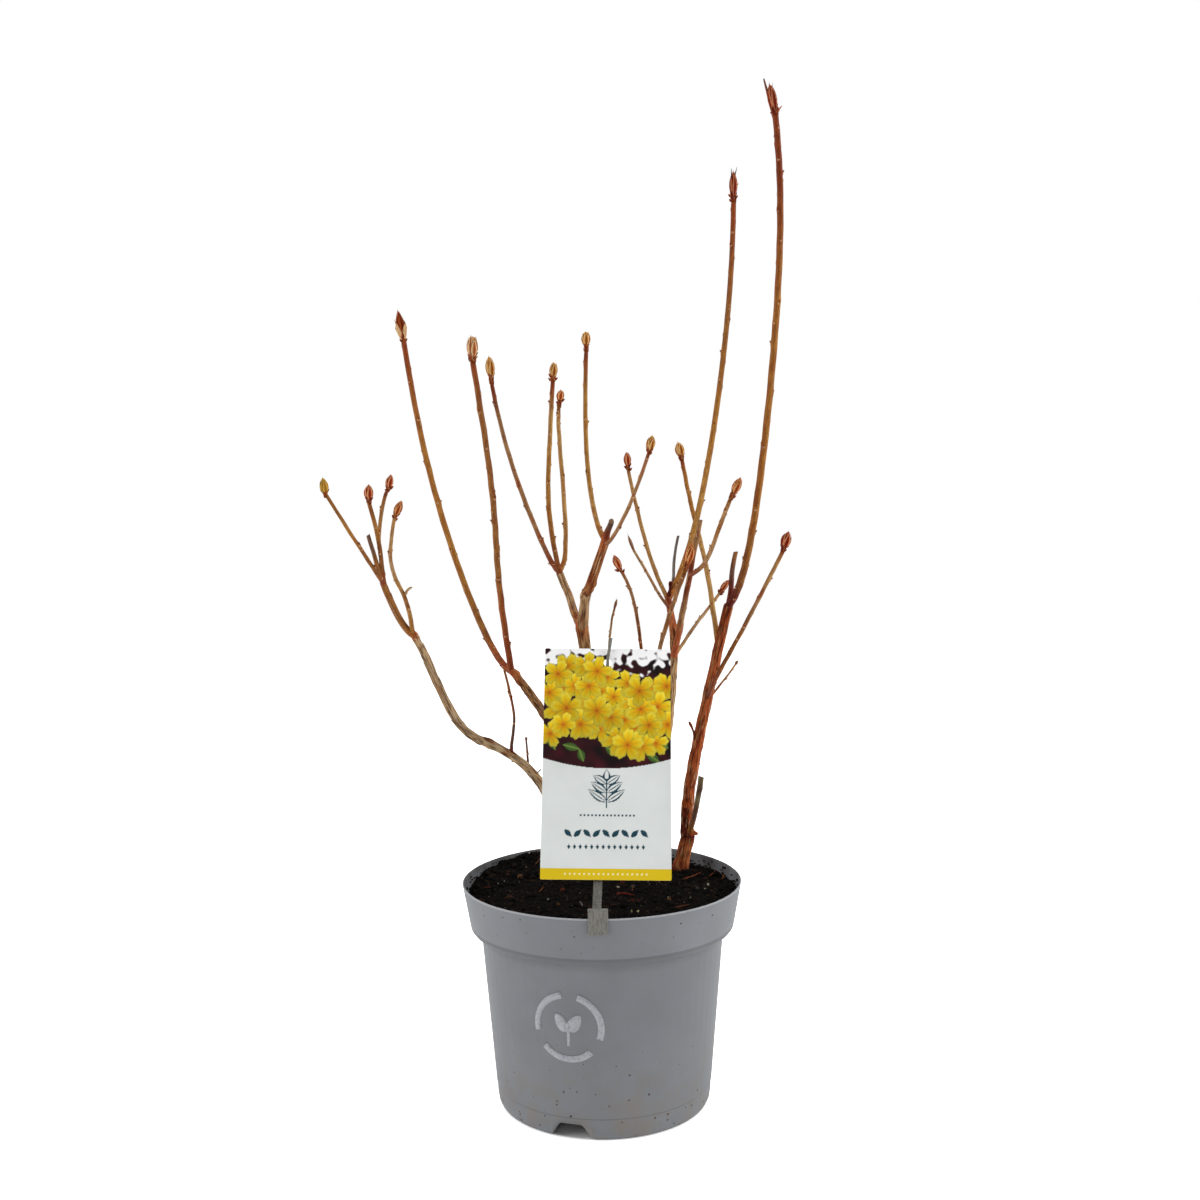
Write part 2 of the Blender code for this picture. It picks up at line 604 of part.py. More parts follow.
def make_label_holder(parts):
    depth = -(CARD_THICK / 2 + GAP + BAR_THICK / 2)
    length = BAR_TOP - BAR_BOTTOM
    section = comb_outline(BAR_WIDTH, BAR_THICK, BAR_GROOVE, BAR_RIBS)
    bar = flat_plate("label_holder", [section], length, parts)
    slant = math.atan2(-BAR_OFFSET, HOLE_HEIGHT)
    # The section's own X stays sideways, its Y points out of the card and its length up the card.
    stand = Matrix.Rotation(math.radians(-90), 4, "X") @ Matrix.Rotation(math.pi, 4, "Y")
    along_card = Matrix.Rotation(-slant, 4, "Z") @ Matrix.Translation((0, (BAR_TOP + BAR_BOTTOM) / 2, 0))
    bar.data.transform(Matrix.Translation((BAR_OFFSET, 0, depth)) @ along_card @ stand)
    pin_path = [
        (0.6 * MM * slant, BAR_TOP - 6 * MM, -PIN_DEPTH),
        (0, HOLE_HEIGHT - PIN_HALF_CROSSING, -PIN_DEPTH),
        (0, HOLE_HEIGHT + PIN_HALF_CROSSING, PIN_DEPTH),
        (PIN_TIP_DRIFT, HOLE_HEIGHT + PIN_TIP, PIN_DEPTH + PIN_RADIUS),
    ]
    pin = tube("pin", [Vector(spot) for spot in pin_path], [PIN_RADIUS] * len(pin_path), 2, parts)
    for piece in (bar, pin):
        piece.data.transform(card_frame())
    side_view = [
        (clip_front(CLIP_FRONT_FOOT) - CLIP_PLATE, CLIP_FRONT_FOOT),
        (clip_front(CLIP_FRONT_FOOT), CLIP_FRONT_FOOT),
        (clip_front(POT_HEIGHT), POT_HEIGHT + GAP),
        (clip_back(POT_HEIGHT), POT_HEIGHT + GAP),
        (clip_back(CLIP_BACK_FOOT), CLIP_BACK_FOOT),
        (clip_back(CLIP_BACK_FOOT) + CLIP_PLATE, CLIP_BACK_FOOT),
        (clip_back(POT_HEIGHT) + CLIP_PLATE, CLIP_BRIDGE),
        (clip_front(POT_HEIGHT), CLIP_TOP),
        (clip_front(POT_HEIGHT) - CLIP_PLATE, CLIP_TOP),
    ]
    clip = flat_plate("clip", [side_view], CLIP_WIDTH, parts)
    upright = Matrix(((0, 0, 1), (1, 0, 0), (0, 1, 0))).to_4x4()
    clip.data.transform(Matrix.Translation((CLIP_SIDE, 0, 0)) @ upright)
    return fused(bar, [pin, clip], parts)


# Limbs


def root_of(name):
    limb = LIMBS[name]
    if limb.parent:
        return along(limb.parent, limb.share)
    x, y = FEET[name]
    return Vector((x * MM, y * MM, SOIL_SEAT + GAP))


def along(name, share):
    """The point on a limb's middle line at a share of its length."""
    limb = LIMBS[name]
    bow = Vector(limb.bow) * MM * 4 * share * (1 - share)
    sway = Vector((limb.sway[0], 0, limb.sway[1])) * MM * math.sin(math.tau * share)
    return root_of(name).lerp(Vector(limb.tip) * MM, share) + bow + sway


def radius_at(name, share):
    first, last = LIMBS[name].thick
    return (first + (last - first) * share) / 2 * MM


def limb_rings(name):
    """The middle points of a limb's rings, its zigzag from ring to ring included, and their radii."""
    limb = LIMBS[name]
    length = (Vector(limb.tip) * MM - root_of(name)).length
    count = max(3, round(length / RING_STEP))
    lean = random.Random(name).uniform(0, math.tau)
    aside = Vector((math.cos(lean), math.sin(lean), 0)) * ZIGZAG
    points, radii = [], []
    for k in range(count + 1):
        share = k / count
        bend = (-1) ** k if 0 < k < count else 0
        points.append(along(name, share) + aside * bend)
        swell = 1 + COLLAR_SWELL * math.exp(-share * length / COLLAR_REACH)
        if limb.parent is None:
            swell = 1 + FOOT_SWELL * math.exp(-share * length / FOOT_REACH)
        radii.append(radius_at(name, share) * swell)
    if limb.parent:
        # The end that lies inside the parent stays thinner than it.
        radii[0] = min(radii[0], ROOT_SHARE * radius_at(limb.parent, limb.share))
    else:
        # A short upright piece gives the stem its level cut on the soil.
        points.insert(1, points[0] + Vector((0, 0, 2 * MM)))
        radii.insert(1, radii[0] * 0.95)
    return points, radii


def bud_rings(name, start):
    """The rings of a limb's end bud, which is no thinner than its shoot up to its widest ring."""
    bud = Vector(LIMBS[name].bud) * MM
    shape = BUDS[name]
    shoot, widest = radius_at(name, 1), shape.width / 2 * MM
    rings = [(0.0, shoot)] if shape.neck > 0 else []
    rings += [(at, max(shoot, size * widest)) for at, size in BUD_OUTLINE]
    rings.append((BUD_SHOULDER, (0.5 + 0.4 * shape.blunt) * widest))
    rings.append((1.0, shape.blunt * widest))
    spots = [start + bud * (shape.neck + (1 - shape.neck) * at) for at, _ in rings]
    return spots, [size for _, size in rings]


def tube(name, points, radii, roundness, collection):
    """A closed tube along straight pieces, with its own radius at each point."""
    curve = bpy.data.curves.new(name, "CURVE")
    curve.dimensions = "3D"
    curve.bevel_depth = MM
    curve.bevel_resolution = roundness
    curve.use_fill_caps = True
    spline = curve.splines.new("POLY")
    spline.points.add(len(points) - 1)
    for spot, point, radius in zip(spline.points, points, radii):
        spot.co = (*point, 1)
        spot.radius = radius / MM
    obj = bpy.data.objects.new(name, curve)
    collection.objects.link(obj)
    return applied(obj)


def roundness_of(name):
    return 2 if LIMBS[name].thick[0] > 5.3 else 1


def line_rings(names):
    """The rings of limbs that follow each other."""
    points, radii = [], []
    for name in names:
        more_points, more_radii = limb_rings(name)
        start = 1 if points else 0
        points += more_points[start:]
        radii += more_radii[start:]
    return points, radii


def limb_tube(names, collection, obj_name):
    """One tube through limbs that follow each other, with the last one's bud."""
    points, radii = line_rings(names)
    if LIMBS[names[-1]].bud:
        more_points, more_radii = bud_rings(names[-1], points[-1])
        points += more_points
        radii += more_radii
    return tube(obj_name, points, radii, roundness_of(names[0]), collection)


def clearance_cutter(name, collection):
    """The tube of a limb or of a bough, thicker and longer by the clearance."""
    names = BOUGHS[name][0] if name in BOUGHS else [name]
    points, radii = line_rings(names)
    ahead = (points[-1] - points[-2]).normalized()
    points[-1] = points[-1] + ahead * GAP
    radii = [radius + GAP * CLEAR_SHARE for radius in radii]
    return tube(f"clear_{name}", points, radii, roundness_of(names[0]), collection)


def side_buds(name, collection):
    """Small side buds in a spiral up the young wood, by a rule seeded with the limb's name."""
    if name in BARE_LIMBS:
        return []
    chance = random.Random(name + " buds")
    length = (Vector(LIMBS[name].tip) * MM - root_of(name)).length
    turn = chance.uniform(0, math.tau)
    buds = []
    at = SCAR_STEP * chance.uniform(0.7, 1.2)
    while at < length - SCAR_LENGTH:
        share = at / length
        ahead = (along(name, share + 0.01) - along(name, share - 0.01)).normalized()
        out = ahead.orthogonal().normalized()
        out.rotate(Matrix.Rotation(turn, 3, ahead))
        lean = ahead * math.cos(SCAR_OPENING) + out * math.sin(SCAR_OPENING)
        foot = along(name, share) + out * radius_at(name, share) / 2
        turned_up = lean.to_track_quat("Z", "Y").to_matrix().to_4x4()
        place = Matrix.Translation(foot + lean * SCAR_LENGTH / 2) @ turned_up
        bm = bmesh.new()
        bmesh.ops.create_cone(bm, cap_ends=True, segments=4, radius1=SCAR_RADIUS,
                              radius2=SCAR_RADIUS * 0.3, depth=SCAR_LENGTH, matrix=place)
        buds.append(new_object(f"{name}_bud_{len(buds)}", bm, collection))
        turn += GOLDEN_ANGLE
        at += SCAR_STEP * chance.uniform(0.8, 1.2)
    return buds


def make_bough(node, parts, cutters):
    line, neighbours = BOUGHS[node]
    bough = limb_tube(line, parts, node)
    for neighbour in neighbours:
        boolean(bough, "DIFFERENCE", cutters[neighbour])
    return bough


def make_spray(node, parts, cutters):
    twigs, neighbours = SPRAYS[node]
    spray = limb_tube(twigs[:1], parts, node)
    extras = []
    for twig in twigs:
        if twig != twigs[0]:
            extras.append(limb_tube([twig], parts, twig + "_twig"))
        extras += side_buds(twig, parts)
    if extras:
        spray = fused(spray, extras, parts)
    for neighbour in neighbours:
        boolean(spray, "DIFFERENCE", cutters[neighbour])
    return spray


def main():
    clear_scene()
    parts = new_collection("potted_azalea")
    cutters = new_collection("cutters", hidden=True)
    plastic = new_material("pot_plastic", (0.18, 0.19, 0.20), 0.55)
    peat = new_material("peat", (0.010, 0.008, 0.007), 0.95)
    card_stock = new_material("printed_card", (0.62, 0.66, 0.64), 0.4)
    holder_plastic = new_material("holder_plastic", (0.22, 0.21, 0.20), 0.5)
    old_bark = new_material("old_bark", (0.24, 0.16, 0.11), 0.85)
    young_bark = new_material("young_bark", (0.30, 0.12, 0.035), 0.6)

    finish(make_pot(parts, cutters), plastic)
    finish(make_soil(parts, cutters), peat)
    finish(make_label_card(parts), card_stock)
    finish(make_label_holder(parts), holder_plastic)

    neighbours = {name for _, clear in [*BOUGHS.values(), *SPRAYS.values()] for name in clear}
    clear = {name: as_cutter(clearance_cutter(name, cutters)) for name in sorted(neighbours)}
    for node in BOUGHS:
        finish(make_bough(node, parts, clear), old_bark)
    for node in SPRAYS:
        finish(make_spray(node, parts, clear), young_bark)


main()
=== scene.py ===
"""A potted mollis azalea in bud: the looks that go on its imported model.

The bark, buds, soil and label are made around the model's own nodes. The limbs grow by the same
rule and from the same table as the model's solids, in finer steps.
"""

import functools
import json
import math
import random
from collections import namedtuple

import bmesh
import bpy
from mathutils import Matrix, Vector, noise

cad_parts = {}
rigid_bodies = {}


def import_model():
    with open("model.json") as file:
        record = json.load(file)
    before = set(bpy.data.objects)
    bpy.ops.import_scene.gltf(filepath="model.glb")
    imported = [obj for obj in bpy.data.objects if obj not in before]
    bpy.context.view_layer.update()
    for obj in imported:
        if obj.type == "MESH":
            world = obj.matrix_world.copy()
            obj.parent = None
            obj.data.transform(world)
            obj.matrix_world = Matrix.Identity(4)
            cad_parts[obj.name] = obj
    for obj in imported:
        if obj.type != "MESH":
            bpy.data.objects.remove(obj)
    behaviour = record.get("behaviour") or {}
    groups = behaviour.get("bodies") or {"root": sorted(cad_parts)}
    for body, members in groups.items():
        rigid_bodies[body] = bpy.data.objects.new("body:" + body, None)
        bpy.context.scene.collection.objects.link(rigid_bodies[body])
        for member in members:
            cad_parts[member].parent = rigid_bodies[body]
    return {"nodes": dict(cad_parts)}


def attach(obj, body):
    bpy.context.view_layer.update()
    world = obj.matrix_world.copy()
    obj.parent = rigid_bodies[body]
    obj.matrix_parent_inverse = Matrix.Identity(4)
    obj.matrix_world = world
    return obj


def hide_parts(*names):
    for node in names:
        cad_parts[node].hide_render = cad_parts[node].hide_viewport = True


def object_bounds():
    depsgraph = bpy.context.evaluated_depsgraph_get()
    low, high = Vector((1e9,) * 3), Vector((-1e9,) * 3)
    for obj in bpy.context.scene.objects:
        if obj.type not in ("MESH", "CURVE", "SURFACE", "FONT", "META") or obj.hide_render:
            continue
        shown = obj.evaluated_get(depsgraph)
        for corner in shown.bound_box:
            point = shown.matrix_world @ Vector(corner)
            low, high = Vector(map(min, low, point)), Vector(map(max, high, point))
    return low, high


bl_info = {
    "name": "Potted Mollis Azalea",
    "version": (1, 0, 0),
    "blender": (4, 5, 0),
    "location": "View3D > Sidebar > Azalea",
    "description": "Dresses the packed model of a potted mollis azalea",
    "category": "Object",
}

MM = 0.001
WELD = 0.0005 * MM

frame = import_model()
CAD_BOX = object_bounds()

# Pot and soil
POT_HEIGHT = 152.8 * MM
POT_WALL = 1.4 * MM
RIM_RADIUS = 95.0 * MM
COLLAR_RADIUS = 90.1 * MM
COLLAR_FOOT = 125.2 * MM
BODY_RADIUS = 82.5 * MM
BODY_TOP = 119.2 * MM
SEAM_RADIUS = 73.8 * MM
SEAM_HEIGHT = 15.0 * MM
SOIL_SEAT = 144.0 * MM
SOIL_PATCH = 0.5 * MM
SEAT_RADIUS = 12.0 * MM
STEM_FOOT = 0.3 * MM  # where the stems' solids start above the soil

# Label card, in its own plane: X to the right, Y up the card, Z out of its face
CARD_WIDTH = 82.0 * MM
CARD_HEIGHT = 150.0 * MM
CARD_THICK = 0.6 * MM
CARD_CORNER = 0.9 * MM
CARD_FOOT = Vector((2.4, -87.0, 175.4)) * MM
CARD_LEAN = 0.40
CARD_ROLL = -0.022
HOLE_RADIUS = 2.6 * MM
HOLE_HEIGHT = 140.5 * MM

# Growth
RING_STEP = 11.0 * MM
COLLAR_SWELL = 0.2
COLLAR_REACH = 5.0 * MM
FOOT_SWELL = 0.35
FOOT_REACH = 8.0 * MM
ZIGZAG = 0.12 * MM
ROOT_SHARE = 0.75
CARRIED_FROM = 0.9  # limbs that start above this share of their parent carry it on
SCAR_STEP = 24.0 * MM
SCAR_LENGTH = 2.6 * MM
SCAR_OPENING = math.radians(42)
GOLDEN_ANGLE = math.radians(137.5)

# A limb leaves its parent at a share of that parent's length. Its tip is measured from the origin.
# Its middle bows off the straight line, and its halves sway to opposite sides, along X and Z. It
# thins from the first diameter to the second, and its end bud points along the last three numbers.
# All in millimetres.
Limb = namedtuple("Limb", "parent share tip bow sway thick bud", defaults=(None,))

FEET = {"main_stem": (13, 35), "right_foot": (56, 49.5)}

LIMBS = {
    "main_stem": Limb(None, 0, (9, 34, 174), (0, 0, 0), (0, 0), (17, 15)),
    "centre_bough": Limb("main_stem", 0.95, (-12, 26, 325), (2, 0, 0), (1.5, 1), (9.7, 8.3)),
    "far_left_low": Limb("main_stem", 0.6, (-80, 0, 248.5), (-0.5, -5, 0.5), (-5, -4), (7.2, 5.8)),
    "far_left_high": Limb(
        "far_left_low", 1, (-121.5, -25, 324), (-5, -4, -0.5), (0.5, -6), (5.6, 5)
    ),
    "far_left_fork": Limb(
        "far_left_high", 1, (-140, -32, 359), (-0.5, 0, -4.5), (0.5, -1.5), (4.7, 4.2)
    ),
    "far_left_outer": Limb(
        "far_left_fork", 0.98, (-168, -75, 417.5), (6.5, -6, -9), (-0.5, 1), (2.7, 2.2), (-1, -2, 10)
    ),
    "far_left_dead": Limb(
        "far_left_fork", 0.98, (-151.5, -16, 389.5), (-0.5, 2, 0), (0, 0), (3.4, 2.6)
    ),
    "far_left_upper": Limb(
        "far_left_fork", 0.97, (-152, -6, 411), (1.5, 4, -2.5), (-0.5, 2), (3.1, 2.7), (0, 1, 12)
    ),
    "far_left_back": Limb(
        "far_left_upper", 0.55, (-142, 14, 418.5), (-2, 4, 1), (-0.5, -3.5), (2.7, 2.4), (2, 3, 11)
    ),
    "far_left_inner": Limb(
        "far_left_fork", 0.04, (-128, -58, 401.5), (-3.5, -5, -3), (2.5, 3), (3, 2.2), (5, -1, 11)
    ),
    "far_left_spur": Limb(
        "far_left_inner", 0.35, (-119, -46, 357), (-1, 0, 0), (0.5, 0), (1.9, 1.4)
    ),
    "left_low_twig": Limb(
        "far_left_low", 0.83, (-64, -10, 299.5), (4, 0, -10.5), (-1.5, 2.5), (2.4, 1.6)
    ),
    "left_low_spur": Limb(
        "far_left_low", 0.72, (-51.5, 26, 243.5), (0.5, 3, -3.5), (0, 0.5), (1.9, 1.4), (0, 1, 3)
    ),
    "mid_left_bough": Limb(
        "centre_bough", 0.16, (-60, 28, 291.5), (-7, 0, 7.5), (0, -2), (6.2, 5.5)
    ),
    "mid_left_outer": Limb(
        "mid_left_bough", 1, (-139, 90, 527), (-1, 9, -46), (3, -6), (4.8, 3.9), (-4, 1, 22)
    ),
    "mid_left_inner": Limb(
        "mid_left_outer", 0.02, (-77, -55, 498), (2.5, -12, -8.5), (-2.5, 9), (4.3, 3.6), (0, -2, 16.5)
    ),
    "centre_left_bough": Limb(
        "centre_bough", 1, (-27, 46, 358.5), (1.5, 3, -7), (-0.5, -0.5), (5.6, 5.1)
    ),
    "centre_left_middle": Limb(
        "centre_left_bough", 1, (-29, 12, 490), (-5.5, -5, -1), (-1, 2.5), (3.6, 2.9), (1, -1, 13)
    ),
    "centre_left_outer": Limb(
        "centre_left_middle", 0.01, (-76.5, 105, 494), (1, 9, -22.5), (2.5, -5), (3.7, 3), (-2, 2, 22)
    ),
    "centre_left_inner": Limb(
        "centre_left_middle", 0.01, (-27, 75, 475), (3, 4, -1), (2, -11.5), (3.4, 2.8), (2, 3, 14)
    ),
    "centre_right_bough": Limb(
        "centre_bough", 0.98, (5, 0, 383), (-4.5, -4, -3.5), (2, 9.5), (6.7, 6)
    ),
    "centre_right_dead": Limb(
        "centre_right_bough", 1, (9, -10, 396.5), (0.5, 0, 2), (-0.5, -0.5), (4.6, 3.4)
    ),
    "centre_right_tall": Limb(
        "centre_right_dead", 0.03, (-6.5, 36, 511), (-4.5, 5, -26), (0.5, 0.5), (3.5, 2.9), (0, 1, 15)
    ),
    "centre_right_outer": Limb(
        "centre_right_dead", 0.03, (32.5, -70, 441), (-5, -11, -18), (-1, -1), (2.7, 2.2), (2, -3, 10)
    ),
    "inner_bough": Limb("main_stem", 0.8, (52, 40, 321.5), (16.5, 0, 2.5), (2, -7), (6.2, 5.6)),
    "inner_fork": Limb("inner_bough", 1, (49, 46, 340), (0, 0, 0), (0, 0), (4.9, 4.6)),
    "inner_tall": Limb(
        "inner_fork", 0.97, (100.5, 90, 621.5), (9.5, 7, -19.5), (-1, -9.5), (4.4, 3.7), (0, 1, 23)
    ),
    "inner_back": Limb(
        "inner_fork", 0.97, (23, 95, 430.5), (-2, 7, -4), (0, -1.5), (3.1, 2.6), (-1, 2, 14)
    ),
    "inner_front": Limb(
        "inner_fork", 0.65, (24, -5, 376.5), (0.5, -7, -2.5), (-0.5, 0), (2.2, 1.8), (-4, -3, 11)
    ),
    "inner_dead": Limb("inner_fork", 0.97, (57.5, 64, 383.5), (0.5, 3, -1), (1, 1), (2.4, 1.9)),
    "fork_dead": Limb("inner_bough", 0.8, (70, 16, 395.5), (-1, -4, -4), (0, -0.5), (4.7, 3)),
    "fork_front": Limb(
        "fork_dead", 0.65, (83.5, -55, 409.5), (1.5, -12, -4), (0.5, -2), (3.2, 2.6), (7, -3, 15)
    ),
    "fine_back_twig": Limb(
        "inner_bough", 0.8, (90, 105, 338.5), (2.5, 10, 3), (3, 4.5), (2.5, 2.2), (7.5, 1, 10.5)
    ),
    "front_right_shoot": Limb(
        "inner_bough", 0.42, (56, -35, 363), (-13, -11, 0), (-1.5, 0), (3.5, 2.7), (5, -3, 20)
    ),
    "front_left_shoot": Limb(
        "inner_bough", 0.3, (14.5, -40, 365.5), (2.5, 0, 17.5), (-1, -3.5), (2.6, 2.1), (-4.5, -3.5, 10.5)
    ),
    "fine_centre_twig": Limb(
        "centre_bough", 0.62, (10.5, 0, 337), (3, -4, 7.5), (1, -1.5), (1.8, 1.4), (2, 0, 7)
    ),
    "right_foot": Limb(None, 0, (62, 47, 170), (0, 0, 0), (0, 0), (9.6, 9.5)),
    "right_stem": Limb("right_foot", 1, (92, 56, 333), (-8.5, 0, -21), (-1, -1.5), (9.2, 6.6)),
    "right_low_stub": Limb(
        "right_stem", 0.03, (70.5, 32, 215.5), (0, -2, -6.5), (-0.5, -2.5), (3.4, 4.1)
    ),
    "right_fine_twig": Limb(
        "right_stem", 0.69, (99.5, 82, 288), (0.5, 0, 0), (0, 0), (1.8, 1.4), (2, 1, 3)
    ),
    "right_outer_shoot": Limb(
        "right_stem", 0.7, (122, -15, 375), (-11, -10, -17), (1, 3), (3.2, 2.7), (4, -1.5, 14)
    ),
    "right_inner_shoot": Limb(
        "right_stem", 0.87, (64, 120, 437), (0.5, 10, 10.5), (0, 5.5), (3.7, 3), (-3, 2, 15)
    ),
    "right_tall": Limb(
        "right_stem", 1, (123, 26, 666.5), (11.5, -4, -27), (-2.5, -22), (5.3, 4.2), (-4, -1, 21)
    ),
    "right_tall_scale": Limb("right_tall", 0.995, (115, 25, 691.5), (-0.5, 0, 0), (0, 0), (3.4, 1)),
    "right_dead": Limb("right_tall", 0.01, (99, 68, 371.5), (-0.5, 0, 0), (0.5, 0.5), (4, 3.2)),
}

# The limbs of each bough and stem
BOUGHS = {
    "main_stem": ["main_stem"],
    "centre_bough": ["centre_bough"],
    "far_left_bough_low": ["far_left_low"],
    "far_left_bough_high": ["far_left_high"],
    "mid_left_bough": ["mid_left_bough"],
    "centre_left_bough": ["centre_left_bough"],
    "centre_right_bough": ["centre_right_bough"],
    "inner_bough": ["inner_bough"],
    "right_stem": ["right_foot", "right_stem"],
}

# The limbs of each spray of twigs
SPRAYS = {
    "far_left_twigs": [
        "far_left_fork", "far_left_outer", "far_left_dead", "far_left_upper", "far_left_back",
        "far_left_inner", "far_left_spur",
    ],
    "left_low_twig": ["left_low_twig"],
    "left_low_spur": ["left_low_spur"],
    "mid_left_twigs": ["mid_left_outer", "mid_left_inner"],
    "centre_left_twigs": ["centre_left_middle", "centre_left_outer", "centre_left_inner"],
    "centre_right_twigs": ["centre_right_dead", "centre_right_tall", "centre_right_outer"],
    "fine_centre_twig": ["fine_centre_twig"],
    "inner_twigs": ["inner_fork", "inner_tall", "inner_back", "inner_front", "inner_dead"],
    "fork_twigs": ["fork_dead", "fork_front"],
    "fine_back_twig": ["fine_back_twig"],
    "front_right_shoot": ["front_right_shoot"],
    "front_left_shoot": ["front_left_shoot"],
    "right_low_stub": ["right_low_stub"],
    "right_fine_twig": ["right_fine_twig"],
    "right_outer_shoot": ["right_outer_shoot"],
    "right_inner_shoot": ["right_inner_shoot"],
    "right_tall_twigs": ["right_tall", "right_tall_scale", "right_dead"],
}

# Limbs without side buds
BARE_LIMBS = ("far_left_dead", "far_left_spur", "centre_right_dead", "inner_dead", "fork_dead",
              "right_low_stub", "right_dead", "right_tall_scale", "far_left_fork", "inner_fork")


# Colours and nodes


def linear(hex_colour):
    """A linear colour from an sRGB hex value."""
    channels = [int(hex_colour[k:k + 2], 16) / 255 for k in (1, 3, 5)]
    spread = [c / 12.92 if c <= 0.04045 else ((c + 0.055) / 1.055) ** 2.4 for c in channels]
    return (*spread, 1.0)


def add_node(tree, kind, feeds=(), stops=(), **settings):
    """Adds a node. Each feed is an input with its value, or with the socket that is linked to it."""
    node = tree.nodes.new(kind)
    for name, value in settings.items():
        setattr(node, name, value)
    for name, feed in feeds:
        if isinstance(feed, bpy.types.NodeSocket):
            tree.links.new(feed, node.inputs[name])
        else:
            node.inputs[name].default_value = feed
    for _ in stops[2:]:
        node.color_ramp.elements.new(1.0)
    for k, (position, colour) in enumerate(stops):
        node.color_ramp.elements[k].position = position
        node.color_ramp.elements[k].color = linear(colour)
    return node


def new_material(name, roughness=0.6, shine=0.5):
    """A material, its tree and its shader. Shine of 0.5 is a smooth plastic's, 0 is none at all."""
    material = bpy.data.materials.new(name)
    material.use_nodes = True
    shader = material.node_tree.nodes["Principled BSDF"]
    shader.inputs["Roughness"].default_value = roughness
    shader.inputs["IOR"].default_value = 1.5
    shader.inputs["Specular IOR Level"].default_value = shine
    return material, material.node_tree, shader


# Materials


